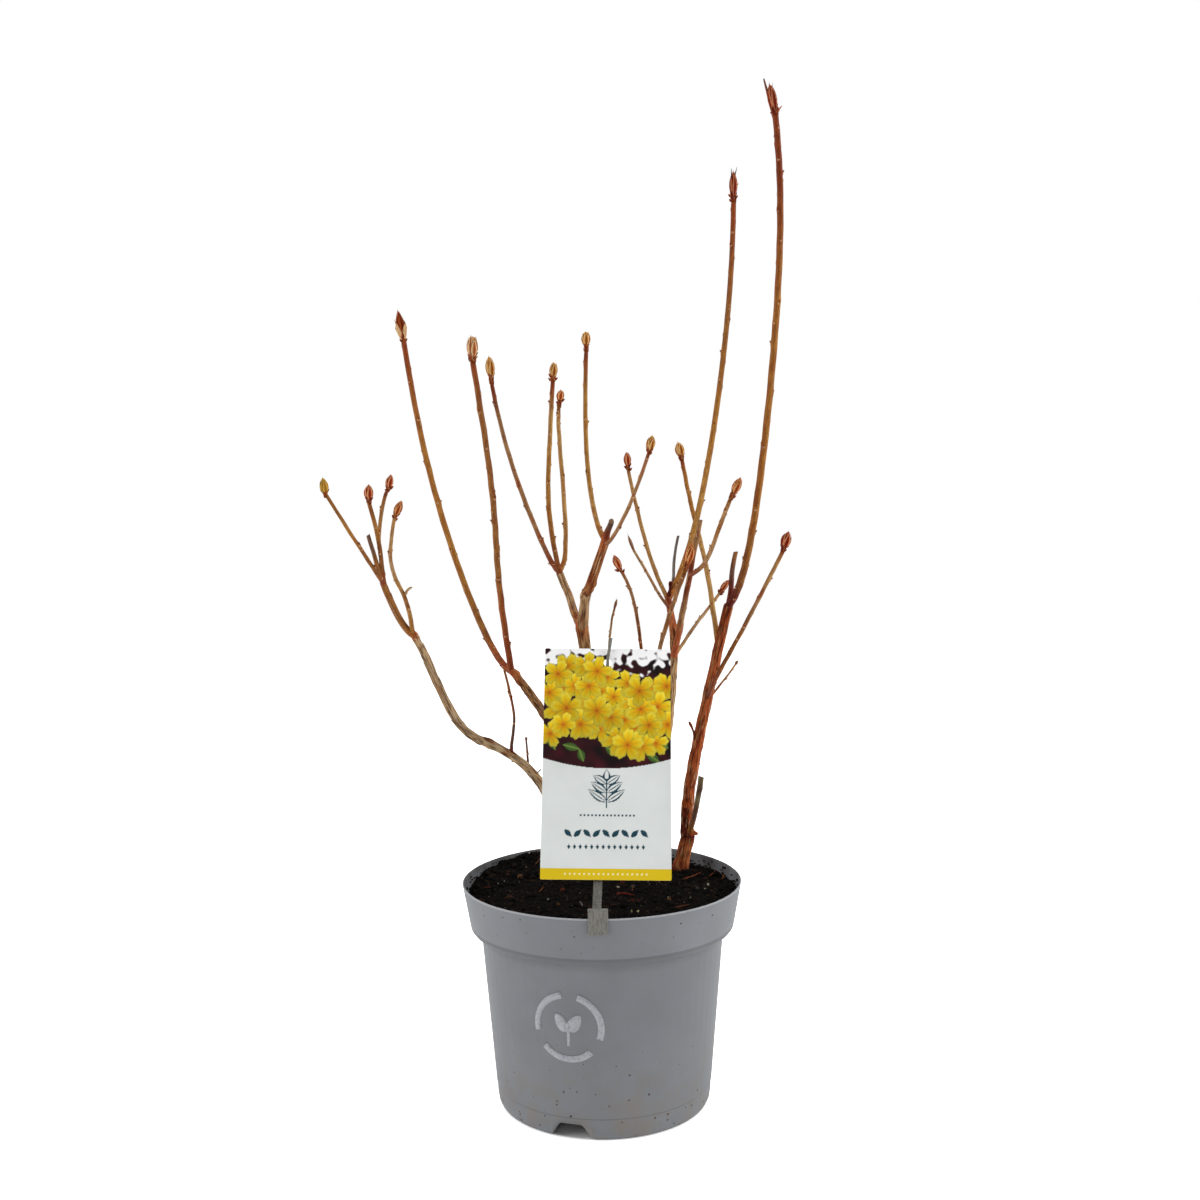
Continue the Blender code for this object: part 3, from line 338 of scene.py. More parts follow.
def moulded_polypropylene(plastic):
    """Grey moulded polypropylene: a soft satin, faintly mottled. Inside it is darker, partly peat stain and
    partly painted shade; outside it has splashes of soil, mostly near the foot and under the rim, painted
    shade under the collar and a painted highlight on the rim's edge."""
    material, tree, shader = new_material("moulded_polypropylene", roughness=0.48, shine=0.3)
    place = add_node(tree, "ShaderNodeTexCoord").outputs["Object"]
    height = add_node(tree, "ShaderNodeSeparateXYZ", [("Vector", place)]).outputs["Z"]
    cloud = add_node(
        tree, "ShaderNodeTexNoise", [("Vector", place), ("Scale", 1 / (28 * MM)), ("Detail", 4)]
    )
    shade = add_node(
        tree, "ShaderNodeValToRGB", [("Fac", cloud.outputs["Fac"])],
        stops=[(0.3, "#F2F2F1"), (0.7, "#FFFFFF")],
    )
    colour = add_node(
        tree, "ShaderNodeMix", [(0, 1.0), (6, tuple(plastic)), (7, shade.outputs["Color"])],
        data_type="RGBA", blend_type="MULTIPLY",
    )
    # A warm film of dust, thickest near the foot
    film = add_node(
        tree, "ShaderNodeTexNoise", [("Vector", place), ("Scale", 1 / (13 * MM)), ("Detail", 6)]
    )
    film = add_node(
        tree, "ShaderNodeValToRGB", [("Fac", film.outputs["Fac"])],
        stops=[(0.38, "#000000"), (0.68, "#FFFFFF")],
    )
    low = add_node(
        tree, "ShaderNodeMapRange",
        [("Value", height), ("From Min", 70 * MM), ("From Max", 0.0), ("To Min", 0.03), ("To Max", 0.6)],
    )
    dust = add_node(
        tree, "ShaderNodeMath", [(0, low.outputs["Result"]), (1, film.outputs["Color"])],
        operation="MULTIPLY",
    )
    colour = add_node(
        tree, "ShaderNodeMix",
        [(0, dust.outputs["Value"]), (6, colour.outputs[2]), (7, linear("#7A6E60"))], data_type="RGBA",
    )
    # Splashes of soil up to 2 mm wide, each a spot with a ragged edge
    ragged = add_node(tree, "ShaderNodeTexNoise", [("Vector", place), ("Scale", 1 / (1.2 * MM))])
    ragged = add_node(
        tree, "ShaderNodeVectorMath",
        [(0, ragged.outputs["Color"]), (1, (1.1 * MM, 1.1 * MM, 1.1 * MM)), (2, place)],
        operation="MULTIPLY_ADD",
    )
    spots = add_node(
        tree, "ShaderNodeTexVoronoi", [("Vector", ragged.outputs["Vector"]), ("Scale", 1 / (4.2 * MM))]
    )
    chance = add_node(tree, "ShaderNodeSeparateColor", [("Color", spots.outputs["Color"])])
    zone = add_node(
        tree, "ShaderNodeValToRGB", [("Fac", add_node(
            tree, "ShaderNodeMapRange",
            [("Value", height), ("From Min", 0.0), ("From Max", POT_HEIGHT)],
        ).outputs["Result"])],
        stops=[(0.0, "#FFFFFF"), (0.25, "#C8C8C8"), (0.45, "#787878"), (0.8, "#888888"), (1.0, "#E0E0E0")],
    )
    reach = add_node(
        tree, "ShaderNodeMapRange",
        [("Value", chance.outputs["Red"]), ("From Min", 0.5), ("From Max", 1.0), ("To Max", 0.3)],
    )
    reach = add_node(
        tree, "ShaderNodeMath", [(0, reach.outputs["Result"]), (1, zone.outputs["Color"])],
        operation="MULTIPLY",
    )
    spot = add_node(
        tree, "ShaderNodeMath", [(0, spots.outputs["Distance"]), (1, reach.outputs["Value"])],
        operation="LESS_THAN",
    )
    soil = add_node(
        tree, "ShaderNodeValToRGB", [("Fac", chance.outputs["Green"])],
        stops=[(0.3, "#2A221E"), (0.9, "#5E4030")],
    )
    colour = add_node(
        tree, "ShaderNodeMix",
        [(0, spot.outputs["Value"]), (6, colour.outputs[2]), (7, soil.outputs["Color"])],
        data_type="RGBA",
    )
    # The parting line of the mould's foot, drawn twice as wide as it is so that it shows
    seam = add_node(
        tree, "ShaderNodeMath", [(0, height), (1, SEAM_HEIGHT), (2, 0.45 * MM)], operation="COMPARE"
    )
    seam = add_node(tree, "ShaderNodeMath", [(0, seam.outputs["Value"]), (1, 0.4)], operation="MULTIPLY")
    colour = add_node(
        tree, "ShaderNodeMix",
        [(0, seam.outputs["Value"]), (6, colour.outputs[2]), (7, linear("#4A4A4C"))], data_type="RGBA",
    )
    # Painted shade under the collar, and a painted highlight along the rim's top edge
    under = add_node(
        tree, "ShaderNodeMapRange",
        [("Value", height), ("From Min", COLLAR_FOOT - 12 * MM), ("From Max", COLLAR_FOOT + 4 * MM)],
    )
    collar_shade = add_node(
        tree, "ShaderNodeValToRGB", [("Fac", under.outputs["Result"])],
        stops=[(0.0, "#FFFFFF"), (0.5, "#E2E2E0"), (0.74, "#D2D2D0"), (0.8, "#FFFFFF")],
    )
    colour = add_node(
        tree, "ShaderNodeMix", [(0, 1.0), (6, colour.outputs[2]), (7, collar_shade.outputs["Color"])],
        data_type="RGBA", blend_type="MULTIPLY",
    )
    # A painted highlight: the rim's top edge is mixed towards a paler grey
    edge = add_node(
        tree, "ShaderNodeMapRange",
        [("Value", height), ("From Min", POT_HEIGHT - 1.3 * MM), ("From Max", POT_HEIGHT - 0.7 * MM),
         ("To Max", 0.6)],
    )
    colour = add_node(
        tree, "ShaderNodeMix",
        [(0, edge.outputs["Result"]), (6, colour.outputs[2]), (7, linear("#B4B6B8"))], data_type="RGBA",
    )
    # The inner wall is where the surface faces the pot's axis.
    flat = add_node(
        tree, "ShaderNodeVectorMath", [(0, place), (1, (1, 1, 0))], operation="MULTIPLY"
    )
    outward = add_node(
        tree, "ShaderNodeVectorMath",
        [(0, flat.outputs["Vector"]), (1, add_node(tree, "ShaderNodeNewGeometry").outputs["Normal"])],
        operation="DOT_PRODUCT",
    )
    inner = add_node(
        tree, "ShaderNodeMapRange",
        [("Value", outward.outputs["Value"]), ("From Min", 0.0), ("From Max", -30 * MM), ("To Max", 0.86)],
    )
    # The inner wall is painted darker: partly a peat stain, partly painted shade inside the pot
    stain_and_shade = add_node(
        tree, "ShaderNodeValToRGB", [("Fac", film.outputs["Color"])],
        stops=[(0.0, "#56575B"), (1.0, "#2E2926")],
    )
    colour = add_node(
        tree, "ShaderNodeMix",
        [(0, inner.outputs["Result"]), (6, colour.outputs[2]), (7, stain_and_shade.outputs["Color"])],
        data_type="RGBA",
    )
    tree.links.new(colour.outputs[2], shader.inputs["Base Color"])
    worn = add_node(
        tree, "ShaderNodeMapRange", [("Value", cloud.outputs["Fac"]), ("To Min", 0.42), ("To Max", 0.58)]
    )
    tree.links.new(worn.outputs["Result"], shader.inputs["Roughness"])
    # The mould's own grain is about 1 mm wide.
    grain = add_node(tree, "ShaderNodeTexNoise", [("Vector", place), ("Scale", 1 / (1.1 * MM))])
    relief = add_node(
        tree, "ShaderNodeBump",
        [("Height", grain.outputs["Fac"]), ("Distance", 0.05 * MM), ("Strength", 0.4)],
    )
    tree.links.new(relief.outputs["Normal"], shader.inputs["Normal"])
    return material


def holder_polypropylene(plastic):
    """Recycled polypropylene of the holder: a warmer grey than the pot, pitted and streaked."""
    material, tree, shader = new_material("holder_polypropylene", roughness=0.55, shine=0.25)
    place = add_node(tree, "ShaderNodeTexCoord").outputs["Object"]
    drawn = add_node(tree, "ShaderNodeMapping", [("Vector", place), ("Scale", (1, 0.2, 0.2))])
    streaks = add_node(
        tree, "ShaderNodeTexNoise",
        [("Vector", drawn.outputs["Vector"]), ("Scale", 1 / (1.0 * MM)), ("Detail", 4)],
    )
    shade = add_node(
        tree, "ShaderNodeValToRGB", [("Fac", streaks.outputs["Fac"])],
        stops=[(0.35, "#D8D5D0"), (0.65, "#FFFFFF")],
    )
    colour = add_node(
        tree, "ShaderNodeMix", [(0, 1.0), (6, tuple(plastic)), (7, shade.outputs["Color"])],
        data_type="RGBA", blend_type="MULTIPLY",
    )
    # Pits and specks under 1 mm wide
    pits = add_node(
        tree, "ShaderNodeTexNoise", [("Vector", place), ("Scale", 1 / (0.9 * MM)), ("Detail", 3)]
    )
    specks = add_node(
        tree, "ShaderNodeValToRGB", [("Fac", pits.outputs["Fac"])],
        stops=[(0.6, "#000000"), (0.68, "#FFFFFF")],
    )
    colour = add_node(
        tree, "ShaderNodeMix",
        [(0, specks.outputs["Color"]), (6, colour.outputs[2]), (7, linear("#55504B"))], data_type="RGBA",
    )
    tree.links.new(colour.outputs[2], shader.inputs["Base Color"])
    relief = add_node(
        tree, "ShaderNodeBump",
        [("Height", pits.outputs["Fac"]), ("Distance", 0.25 * MM), ("Strength", 0.7)],
    )
    tree.links.new(relief.outputs["Normal"], shader.inputs["Normal"])
    return material


def screen_ink(ink):
    """Screen-printed ink on the pot: pale, matt and slightly worn through."""
    material, tree, shader = new_material("screen_ink", roughness=0.6, shine=0.25)
    place = add_node(tree, "ShaderNodeTexCoord").outputs["Object"]
    worn = add_node(
        tree, "ShaderNodeTexNoise", [("Vector", place), ("Scale", 1 / (1.5 * MM)), ("Detail", 5)]
    )
    shade = add_node(
        tree, "ShaderNodeValToRGB", [("Fac", worn.outputs["Fac"])],
        stops=[(0.3, "#D2D2D2"), (0.5, "#FFFFFF")],
    )
    colour = add_node(
        tree, "ShaderNodeMix", [(0, 1.0), (6, tuple(ink)), (7, shade.outputs["Color"])],
        data_type="RGBA", blend_type="MULTIPLY",
    )
    tree.links.new(colour.outputs[2], shader.inputs["Base Color"])
    relief = add_node(
        tree, "ShaderNodeBump",
        [("Height", worn.outputs["Fac"]), ("Distance", 0.04 * MM), ("Strength", 0.3)],
    )
    tree.links.new(relief.outputs["Normal"], shader.inputs["Normal"])
    return material


def moist_peat(peat):
    """Moist peat: near-black and dull, for its pores take up the light, with a few brown fibres."""
    material, tree, shader = new_material("moist_peat", roughness=0.9, shine=0.05)
    place = add_node(tree, "ShaderNodeTexCoord").outputs["Object"]
    lumps = add_node(
        tree, "ShaderNodeTexNoise", [("Vector", place), ("Scale", 1 / (2.5 * MM)), ("Detail", 6)]
    )
    fibres = add_node(
        tree, "ShaderNodeValToRGB", [("Fac", lumps.outputs["Fac"])],
        stops=[(0.35, "#5A5A5A"), (0.6, "#FFFFFF"), (0.75, "#FFE0C0")],
    )
    colour = add_node(
        tree, "ShaderNodeMix", [(0, 1.0), (6, tuple(peat)), (7, fibres.outputs["Color"])],
        data_type="RGBA", blend_type="MULTIPLY",
    )
    tree.links.new(colour.outputs[2], shader.inputs["Base Color"])
    relief = add_node(
        tree, "ShaderNodeBump",
        [("Height", lumps.outputs["Fac"]), ("Distance", 1.4 * MM), ("Strength", 1.0)],
    )
    tree.links.new(relief.outputs["Normal"], shader.inputs["Normal"])
    return material


def potting_bits():
    """Crumbs of peat, bark slivers and perlite: each its own dull colour, with fine grit."""
    material, tree, shader = new_material("potting_bits", roughness=0.85, shine=0.1)
    place = add_node(tree, "ShaderNodeTexCoord").outputs["Object"]
    grit = add_node(
        tree, "ShaderNodeTexNoise", [("Vector", place), ("Scale", 1 / (0.7 * MM)), ("Detail", 4)]
    )
    shade = add_node(
        tree, "ShaderNodeValToRGB", [("Fac", grit.outputs["Fac"])],
        stops=[(0.3, "#8C8C8C"), (0.7, "#FFFFFF")],
    )
    own = add_node(tree, "ShaderNodeAttribute", attribute_name="tint")
    colour = add_node(
        tree, "ShaderNodeMix", [(0, 1.0), (6, own.outputs["Color"]), (7, shade.outputs["Color"])],
        data_type="RGBA", blend_type="MULTIPLY",
    )
    tree.links.new(colour.outputs[2], shader.inputs["Base Color"])
    relief = add_node(
        tree, "ShaderNodeBump",
        [("Height", grit.outputs["Fac"]), ("Distance", 0.4 * MM), ("Strength", 1.0)],
    )
    tree.links.new(relief.outputs["Normal"], shader.inputs["Normal"])
    return material


def printed_sheet():
    """Printed polypropylene sheet: smooth, with a soft gloss over the ink."""
    material, tree, shader = new_material("printed_sheet", roughness=0.38, shine=0.3)
    place = add_node(tree, "ShaderNodeTexCoord").outputs["Object"]
    tone = add_node(tree, "ShaderNodeTexNoise", [("Vector", place), ("Scale", 1 / (25 * MM))])
    shade = add_node(
        tree, "ShaderNodeValToRGB", [("Fac", tone.outputs["Fac"])],
        stops=[(0.3, "#F6F6F6"), (0.7, "#FFFFFF")],
    )
    own = add_node(tree, "ShaderNodeAttribute", attribute_name="tint")
    colour = add_node(
        tree, "ShaderNodeMix", [(0, 1.0), (6, own.outputs["Color"]), (7, shade.outputs["Color"])],
        data_type="RGBA", blend_type="MULTIPLY",
    )
    tree.links.new(colour.outputs[2], shader.inputs["Base Color"])
    relief = add_node(
        tree, "ShaderNodeBump",
        [("Height", tone.outputs["Fac"]), ("Distance", 0.3 * MM), ("Strength", 0.15)],
    )
    tree.links.new(relief.outputs["Normal"], shader.inputs["Normal"])
    return material


def weathered_bark(tone):
    """Older bark: long flaking fibres, grey-tan where weathered and red-brown where it has split."""
    material, tree, shader = new_material("weathered_bark", roughness=0.85, shine=0.12)
    grain = add_node(tree, "ShaderNodeAttribute", attribute_name="grain").outputs["Vector"]
    own = add_node(tree, "ShaderNodeAttribute", attribute_name="tint").outputs["Color"]
    colour = add_node(
        tree, "ShaderNodeMix", [(0, 1.0), (6, tuple(tone)), (7, own)],
        data_type="RGBA", blend_type="MULTIPLY",
    )
    # Fibres are about 0.5 mm wide, and are drawn at 0.9 mm so that the dark splits between them show.
    fibres = add_node(
        tree, "ShaderNodeTexNoise", [("Vector", grain), ("Scale", 1 / (0.9 * MM)), ("Detail", 6)]
    )
    splits = add_node(
        tree, "ShaderNodeValToRGB", [("Fac", fibres.outputs["Fac"])],
        stops=[(0.36, "#644A3C"), (0.47, "#C6BAB0"), (0.56, "#FFFFFF")],
    )
    colour = add_node(
        tree, "ShaderNodeMix", [(0, 0.9), (6, colour.outputs[2]), (7, splits.outputs["Color"])],
        data_type="RGBA", blend_type="MULTIPLY",
    )
    # Pale flakes where the outer skin still holds
    skin = add_node(
        tree, "ShaderNodeTexNoise", [("Vector", grain), ("Scale", 1 / (1.3 * MM)), ("Detail", 3)]
    )
    flakes = add_node(
        tree, "ShaderNodeValToRGB", [("Fac", skin.outputs["Fac"])],
        stops=[(0.56, "#000000"), (0.64, "#B0B0B0")],
    )
    colour = add_node(
        tree, "ShaderNodeMix",
        [(0, flakes.outputs["Color"]), (6, colour.outputs[2]), (7, linear("#CCA070"))], data_type="RGBA",
    )
    # Pores and pits about a millimetre wide
    place = add_node(tree, "ShaderNodeTexCoord").outputs["Object"]
    pores = add_node(tree, "ShaderNodeTexNoise", [("Vector", place), ("Scale", 1 / (1.1 * MM))])
    pits = add_node(
        tree, "ShaderNodeValToRGB", [("Fac", pores.outputs["Fac"])],
        stops=[(0.66, "#000000"), (0.74, "#B0B0B0")],
    )
    colour = add_node(
        tree, "ShaderNodeMix",
        [(0, pits.outputs["Color"]), (6, colour.outputs[2]), (7, linear("#34201A"))], data_type="RGBA",
    )
    tree.links.new(colour.outputs[2], shader.inputs["Base Color"])
    relief = add_node(
        tree, "ShaderNodeBump",
        [("Height", fibres.outputs["Fac"]), ("Distance", 0.45 * MM), ("Strength", 0.9)],
    )
    tree.links.new(relief.outputs["Normal"], shader.inputs["Normal"])
    return material


def young_bark(tone):
    """Last year's shoots: thin smooth bark with a faint sheen, fine lengthwise lines and pale pores."""
    material, tree, shader = new_material("young_bark", roughness=0.55, shine=0.15)
    grain = add_node(tree, "ShaderNodeAttribute", attribute_name="grain").outputs["Vector"]
    own = add_node(tree, "ShaderNodeAttribute", attribute_name="tint").outputs["Color"]
    colour = add_node(
        tree, "ShaderNodeMix", [(0, 1.0), (6, tuple(tone)), (7, own)],
        data_type="RGBA", blend_type="MULTIPLY",
    )
    lines = add_node(
        tree, "ShaderNodeTexNoise", [("Vector", grain), ("Scale", 1 / (0.5 * MM)), ("Detail", 4)]
    )
    shade = add_node(
        tree, "ShaderNodeValToRGB", [("Fac", lines.outputs["Fac"])],
        stops=[(0.3, "#A08C7C"), (0.6, "#FFFFFF")],
    )
    colour = add_node(
        tree, "ShaderNodeMix", [(0, 0.8), (6, colour.outputs[2]), (7, shade.outputs["Color"])],
        data_type="RGBA", blend_type="MULTIPLY",
    )
    # Pores are finer than 0.5 mm, and are drawn a little coarser so that they show.
    place = add_node(tree, "ShaderNodeTexCoord").outputs["Object"]
    pores = add_node(
        tree, "ShaderNodeTexNoise", [("Vector", place), ("Scale", 1 / (0.8 * MM)), ("Detail", 1)]
    )
    flecks = add_node(
        tree, "ShaderNodeValToRGB", [("Fac", pores.outputs["Fac"])],
        stops=[(0.7, "#000000"), (0.76, "#909090")],
    )
    colour = add_node(
        tree, "ShaderNodeMix",
        [(0, flecks.outputs["Color"]), (6, colour.outputs[2]), (7, linear("#D8B27E"))], data_type="RGBA",
    )
    tree.links.new(colour.outputs[2], shader.inputs["Base Color"])
    relief = add_node(
        tree, "ShaderNodeBump",
        [("Height", lines.outputs["Fac"]), ("Distance", 0.12 * MM), ("Strength", 0.6)],
    )
    tree.links.new(relief.outputs["Normal"], shader.inputs["Normal"])
    return material


def bud_scale_skin(tone):
    """Dry bud scales: papery and nearly dull, with fine veins along them."""
    material, tree, shader = new_material("bud_scale_skin", roughness=0.7, shine=0.05)
    place = add_node(tree, "ShaderNodeTexCoord").outputs["Object"]
    own = add_node(tree, "ShaderNodeAttribute", attribute_name="tint").outputs["Color"]
    colour = add_node(
        tree, "ShaderNodeMix", [(0, 1.0), (6, tuple(tone)), (7, own)],
        data_type="RGBA", blend_type="MULTIPLY",
    )
    drawn = add_node(tree, "ShaderNodeMapping", [("Vector", place), ("Scale", (1, 1, 0.2))])
    veins = add_node(
        tree, "ShaderNodeTexNoise",
        [("Vector", drawn.outputs["Vector"]), ("Scale", 1 / (0.35 * MM)), ("Detail", 3)],
    )
    shade = add_node(
        tree, "ShaderNodeValToRGB", [("Fac", veins.outputs["Fac"])],
        stops=[(0.3, "#A89482"), (0.6, "#FFFFFF")],
    )
    colour = add_node(
        tree, "ShaderNodeMix", [(0, 0.7), (6, colour.outputs[2]), (7, shade.outputs["Color"])],
        data_type="RGBA", blend_type="MULTIPLY",
    )
    tree.links.new(colour.outputs[2], shader.inputs["Base Color"])
    relief = add_node(
        tree, "ShaderNodeBump",
        [("Height", veins.outputs["Fac"]), ("Distance", 0.08 * MM), ("Strength", 0.5)],
    )
    tree.links.new(relief.outputs["Normal"], shader.inputs["Normal"])
    return material

# Wood: each bark has the colour of its darker side and of its lighter side, partly the sunny side's own
# colour and partly painted shade and highlight, and the colour of its patches
BARKS = {
    "grey_tan": ("#886D52", "#C4AA86", "#9C6C48"),
    "pale": ("#A8845E", "#DCBC92", "#AA7A52"),
    "tan": ("#8A5E3A", "#B88E60", "#924E28"),
    "fibrous": ("#7A3A1C", "#B67E4C", "#9E5E34"),
    "rust": ("#963F1C", "#C67644", "#A44E24"),
    "russet": ("#74300F", "#A25A24", "#8C4218"),
    "umber": ("#703C18", "#9C662E", "#865024"),
    "shoot": ("#8A4C18", "#B27C34", "#9A5C24"),
    "ochre": ("#90622A", "#BE8C46", "#A06C2C"),
    "straw": ("#966838", "#C29656", "#A6703A"),
    "drab": ("#96704A", "#C2A072", "#A2744A"),
    "tip": ("#6E2A0E", "#944618", "#843A14"),
    "wine": ("#54160C", "#762A18", "#621C10"),
    "dead": ("#4A2E24", "#785642", "#542E22"),
    "ash": ("#6E6660", "#B0AAA2", "#5E4A40"),
    "olive": ("#5A5034", "#948460", "#6A4A30"),
}
SHOOT_RUN = ((0.0, "russet"), (0.12, "shoot"), (0.7, "shoot"), (0.97, "tip"))

# Where each limb's bark changes: shares of its length, each with a bark
BARK_RUNS = {
    "main_stem": ((0.0, "tan"), (1.0, "grey_tan")),
    "centre_bough": ((0.0, "grey_tan"), (0.8, "grey_tan"), (0.92, "tan"), (1.0, "rust")),
    "far_left_low": ((0.0, "grey_tan"), (1.0, "grey_tan")),
    "far_left_high": ((0.0, "grey_tan"), (0.9, "grey_tan"), (1.0, "rust")),
    "far_left_fork": ((0.0, "russet"), (0.3, "umber"), (1.0, "umber")),
    "far_left_outer": (
        (0.0, "tip"), (0.1, "tip"), (0.2, "umber"), (0.5, "umber"), (0.7, "shoot"), (1.0, "umber"),
    ),
    "far_left_dead": ((0.0, "tip"), (0.2, "umber"), (0.5, "umber"), (0.65, "dead"), (1.0, "dead")),
    "far_left_upper": (
        (0.0, "tip"), (0.08, "tip"), (0.16, "umber"), (0.5, "umber"), (0.62, "shoot"), (1.0, "umber"),
    ),
    "far_left_back": ((0.0, "shoot"), (0.3, "straw"), (0.6, "straw"), (0.8, "russet"), (1.0, "tip")),
    "far_left_inner": (
        (0.0, "shoot"), (0.2, "straw"), (0.33, "umber"), (0.44, "straw"), (0.7, "drab"),
        (1.0, "straw"),
    ),
    "far_left_spur": ((0.0, "russet"), (0.5, "drab"), (1.0, "drab")),
    "left_low_twig": (
        (0.0, "rust"), (0.1, "wine"), (0.25, "dead"), (0.6, "dead"), (0.8, "russet"), (1.0, "umber"),
    ),
    "left_low_spur": ((0.0, "tan"), (0.3, "dead"), (1.0, "dead")),
    "mid_left_bough": ((0.0, "tan"), (0.8, "tan"), (0.9, "fibrous"), (1.0, "rust")),
    "mid_left_outer": (
        (0.0, "tip"), (0.09, "tip"), (0.2, "russet"), (0.3, "umber"), (0.5, "shoot"), (0.75, "shoot"),
        (0.97, "tip"),
    ),
    "mid_left_inner": (
        (0.0, "tip"), (0.09, "tip"), (0.2, "russet"), (0.35, "umber"), (0.9, "umber"), (1.0, "tip"),
    ),
    "centre_left_bough": (
        (0.0, "pale"), (0.18, "fibrous"), (0.35, "fibrous"), (0.6, "pale"), (1.0, "pale"),
    ),
    "centre_left_middle": (
        (0.0, "tip"), (0.1, "umber"), (0.3, "shoot"), (0.6, "ochre"), (0.85, "straw"), (0.98, "tip"),
    ),
    "centre_left_outer": ((0.0, "russet"), (0.2, "tip"), (0.32, "tan"), (0.85, "tan"), (0.97, "tip")),
    "centre_left_inner": ((0.0, "shoot"), (0.15, "shoot"), (0.4, "straw"), (0.9, "straw"), (1.0, "umber")),
    "centre_right_bough": (
        (0.0, "pale"), (0.3, "pale"), (0.38, "fibrous"), (0.9, "fibrous"), (1.0, "rust"),
    ),
    "centre_right_dead": ((0.0, "rust"), (0.3, "tip"), (0.6, "dead"), (1.0, "dead")),
    "centre_right_tall": (
        (0.0, "tip"), (0.12, "shoot"), (0.3, "straw"), (0.5, "ochre"), (0.85, "ochre"), (1.0, "tip"),
    ),
    "centre_right_outer": (
        (0.0, "tip"), (0.1, "tip"), (0.25, "umber"), (0.45, "tan"), (0.92, "tan"), (1.0, "tip"),
    ),
    "inner_bough": (
        (0.0, "tan"), (0.6, "pale"), (0.75, "pale"), (0.82, "tan"), (0.9, "tan"), (1.0, "rust"),
    ),
    "inner_fork": ((0.0, "rust"), (0.6, "rust"), (0.8, "tip"), (1.0, "tip")),
    "inner_tall": (
        (0.0, "russet"), (0.1, "shoot"), (0.3, "ochre"), (0.5, "shoot"), (0.75, "umber"),
        (0.97, "tip"),
    ),
    "inner_back": ((0.0, "umber"), (0.1, "straw"), (0.95, "straw"), (1.0, "umber")),
    "inner_front": ((0.0, "rust"), (0.08, "tip"), (0.22, "umber"), (0.4, "tan"), (1.0, "drab")),
    "inner_dead": ((0.0, "rust"), (0.2, "rust"), (0.32, "ash"), (1.0, "ash")),
    "fork_dead": (
        (0.0, "rust"), (0.22, "rust"), (0.33, "tan"), (0.44, "tan"), (0.54, "tip"), (0.72, "tip"),
        (0.85, "tan"), (1.0, "tan"),
    ),
    "fork_front": (
        (0.0, "tip"), (0.12, "tip"), (0.22, "umber"), (0.35, "tan"), (0.5, "tan"), (0.7, "umber"),
        (0.85, "tan"), (1.0, "umber"),
    ),
    "fine_back_twig": ((0.0, "straw"), (0.1, "drab"), (0.75, "drab"), (0.85, "straw"), (1.0, "drab")),
    "front_right_shoot": ((0.0, "tan"), (0.6, "drab"), (0.74, "umber"), (0.85, "tan"), (1.0, "umber")),
    "front_left_shoot": ((0.0, "russet"), (0.5, "russet"), (0.65, "umber"), (0.8, "tan"), (1.0, "umber")),
    "fine_centre_twig": ((0.0, "olive"), (0.4, "ash"), (0.6, "drab"), (1.0, "umber")),
    "right_foot": ((0.0, "wine"), (0.3, "rust"), (0.7, "rust"), (1.0, "wine")),
    "right_stem": ((0.0, "rust"), (0.85, "rust"), (1.0, "tip")),
    "right_low_stub": (
        (0.0, "rust"), (0.3, "umber"), (0.45, "dead"), (0.6, "dead"), (0.72, "olive"), (0.82, "dead"),
        (1.0, "olive"),
    ),
    "right_fine_twig": ((0.0, "russet"), (0.3, "umber"), (1.0, "tan")),
    "right_outer_shoot": (
        (0.0, "tip"), (0.3, "russet"), (0.45, "umber"), (0.65, "umber"), (0.85, "tan"),
        (0.96, "straw"), (1.0, "tip"),
    ),
    "right_inner_shoot": (
        (0.0, "shoot"), (0.12, "straw"), (0.5, "straw"), (0.6, "shoot"), (0.92, "shoot"), (1.0, "tip"),
    ),
    "right_tall": (
        (0.0, "wine"), (0.08, "wine"), (0.16, "umber"), (0.3, "shoot"), (0.65, "shoot"), (0.85, "tip"),
        (1.0, "tip"),
    ),
    "right_tall_scale": ((0.0, "wine"), (0.5, "tip"), (1.0, "dead")),
    "right_dead": ((0.0, "wine"), (0.3, "wine"), (0.6, "dead"), (1.0, "umber")),
}
CUT_ENDS = ("far_left_dead", "centre_right_dead", "inner_dead", "fork_dead", "right_low_stub", "right_dead")
END_GRAIN = "#86694E"

# A darker, smoother patch on the left of the right stem's foot: its limb, shares and directions
WINE_PATCH = ("right_stem", 0.0, 0.22)

# Knots on the old wood: limb, share, direction out of it, and height and reach in millimetres
KNOTS = (
    ("far_left_low", 0.97, (-0.3, -0.2, 1.0), 1.6, 3.5),
    ("far_left_high", 0.03, (0.2, 0.0, -1.0), 1.0, 4.0),
    ("centre_right_bough", 0.27, (-1.0, -0.3, 0.2), 1.0, 3.0),
    ("centre_right_bough", 0.74, (1.0, -0.2, 0.1), 1.2, 2.2),
    ("right_stem", 0.01, (1.0, -0.3, 0.1), 3.0, 4.0),
    ("right_low_stub", 0.5, (-0.6, -0.8, 0.0), 0.5, 1.6),
    ("right_low_stub", 0.84, (0.4, -0.9, 0.0), 0.9, 1.6),
    ("right_stem", 0.02, (-0.8, -0.6, 0.0), 1.0, 6.0),
    ("right_stem", 0.62, (0.3, -1.0, 0.0), 0.9, 4.0),
    ("mid_left_bough", 0.6, (-0.6, -0.3, -1.0), 0.9, 3.0),
    ("mid_left_bough", 0.96, (0.8, -0.2, 0.6), 0.9, 3.0),
    ("centre_bough", 0.99, (1.0, -0.4, 0.0), 0.8, 4.0),
)

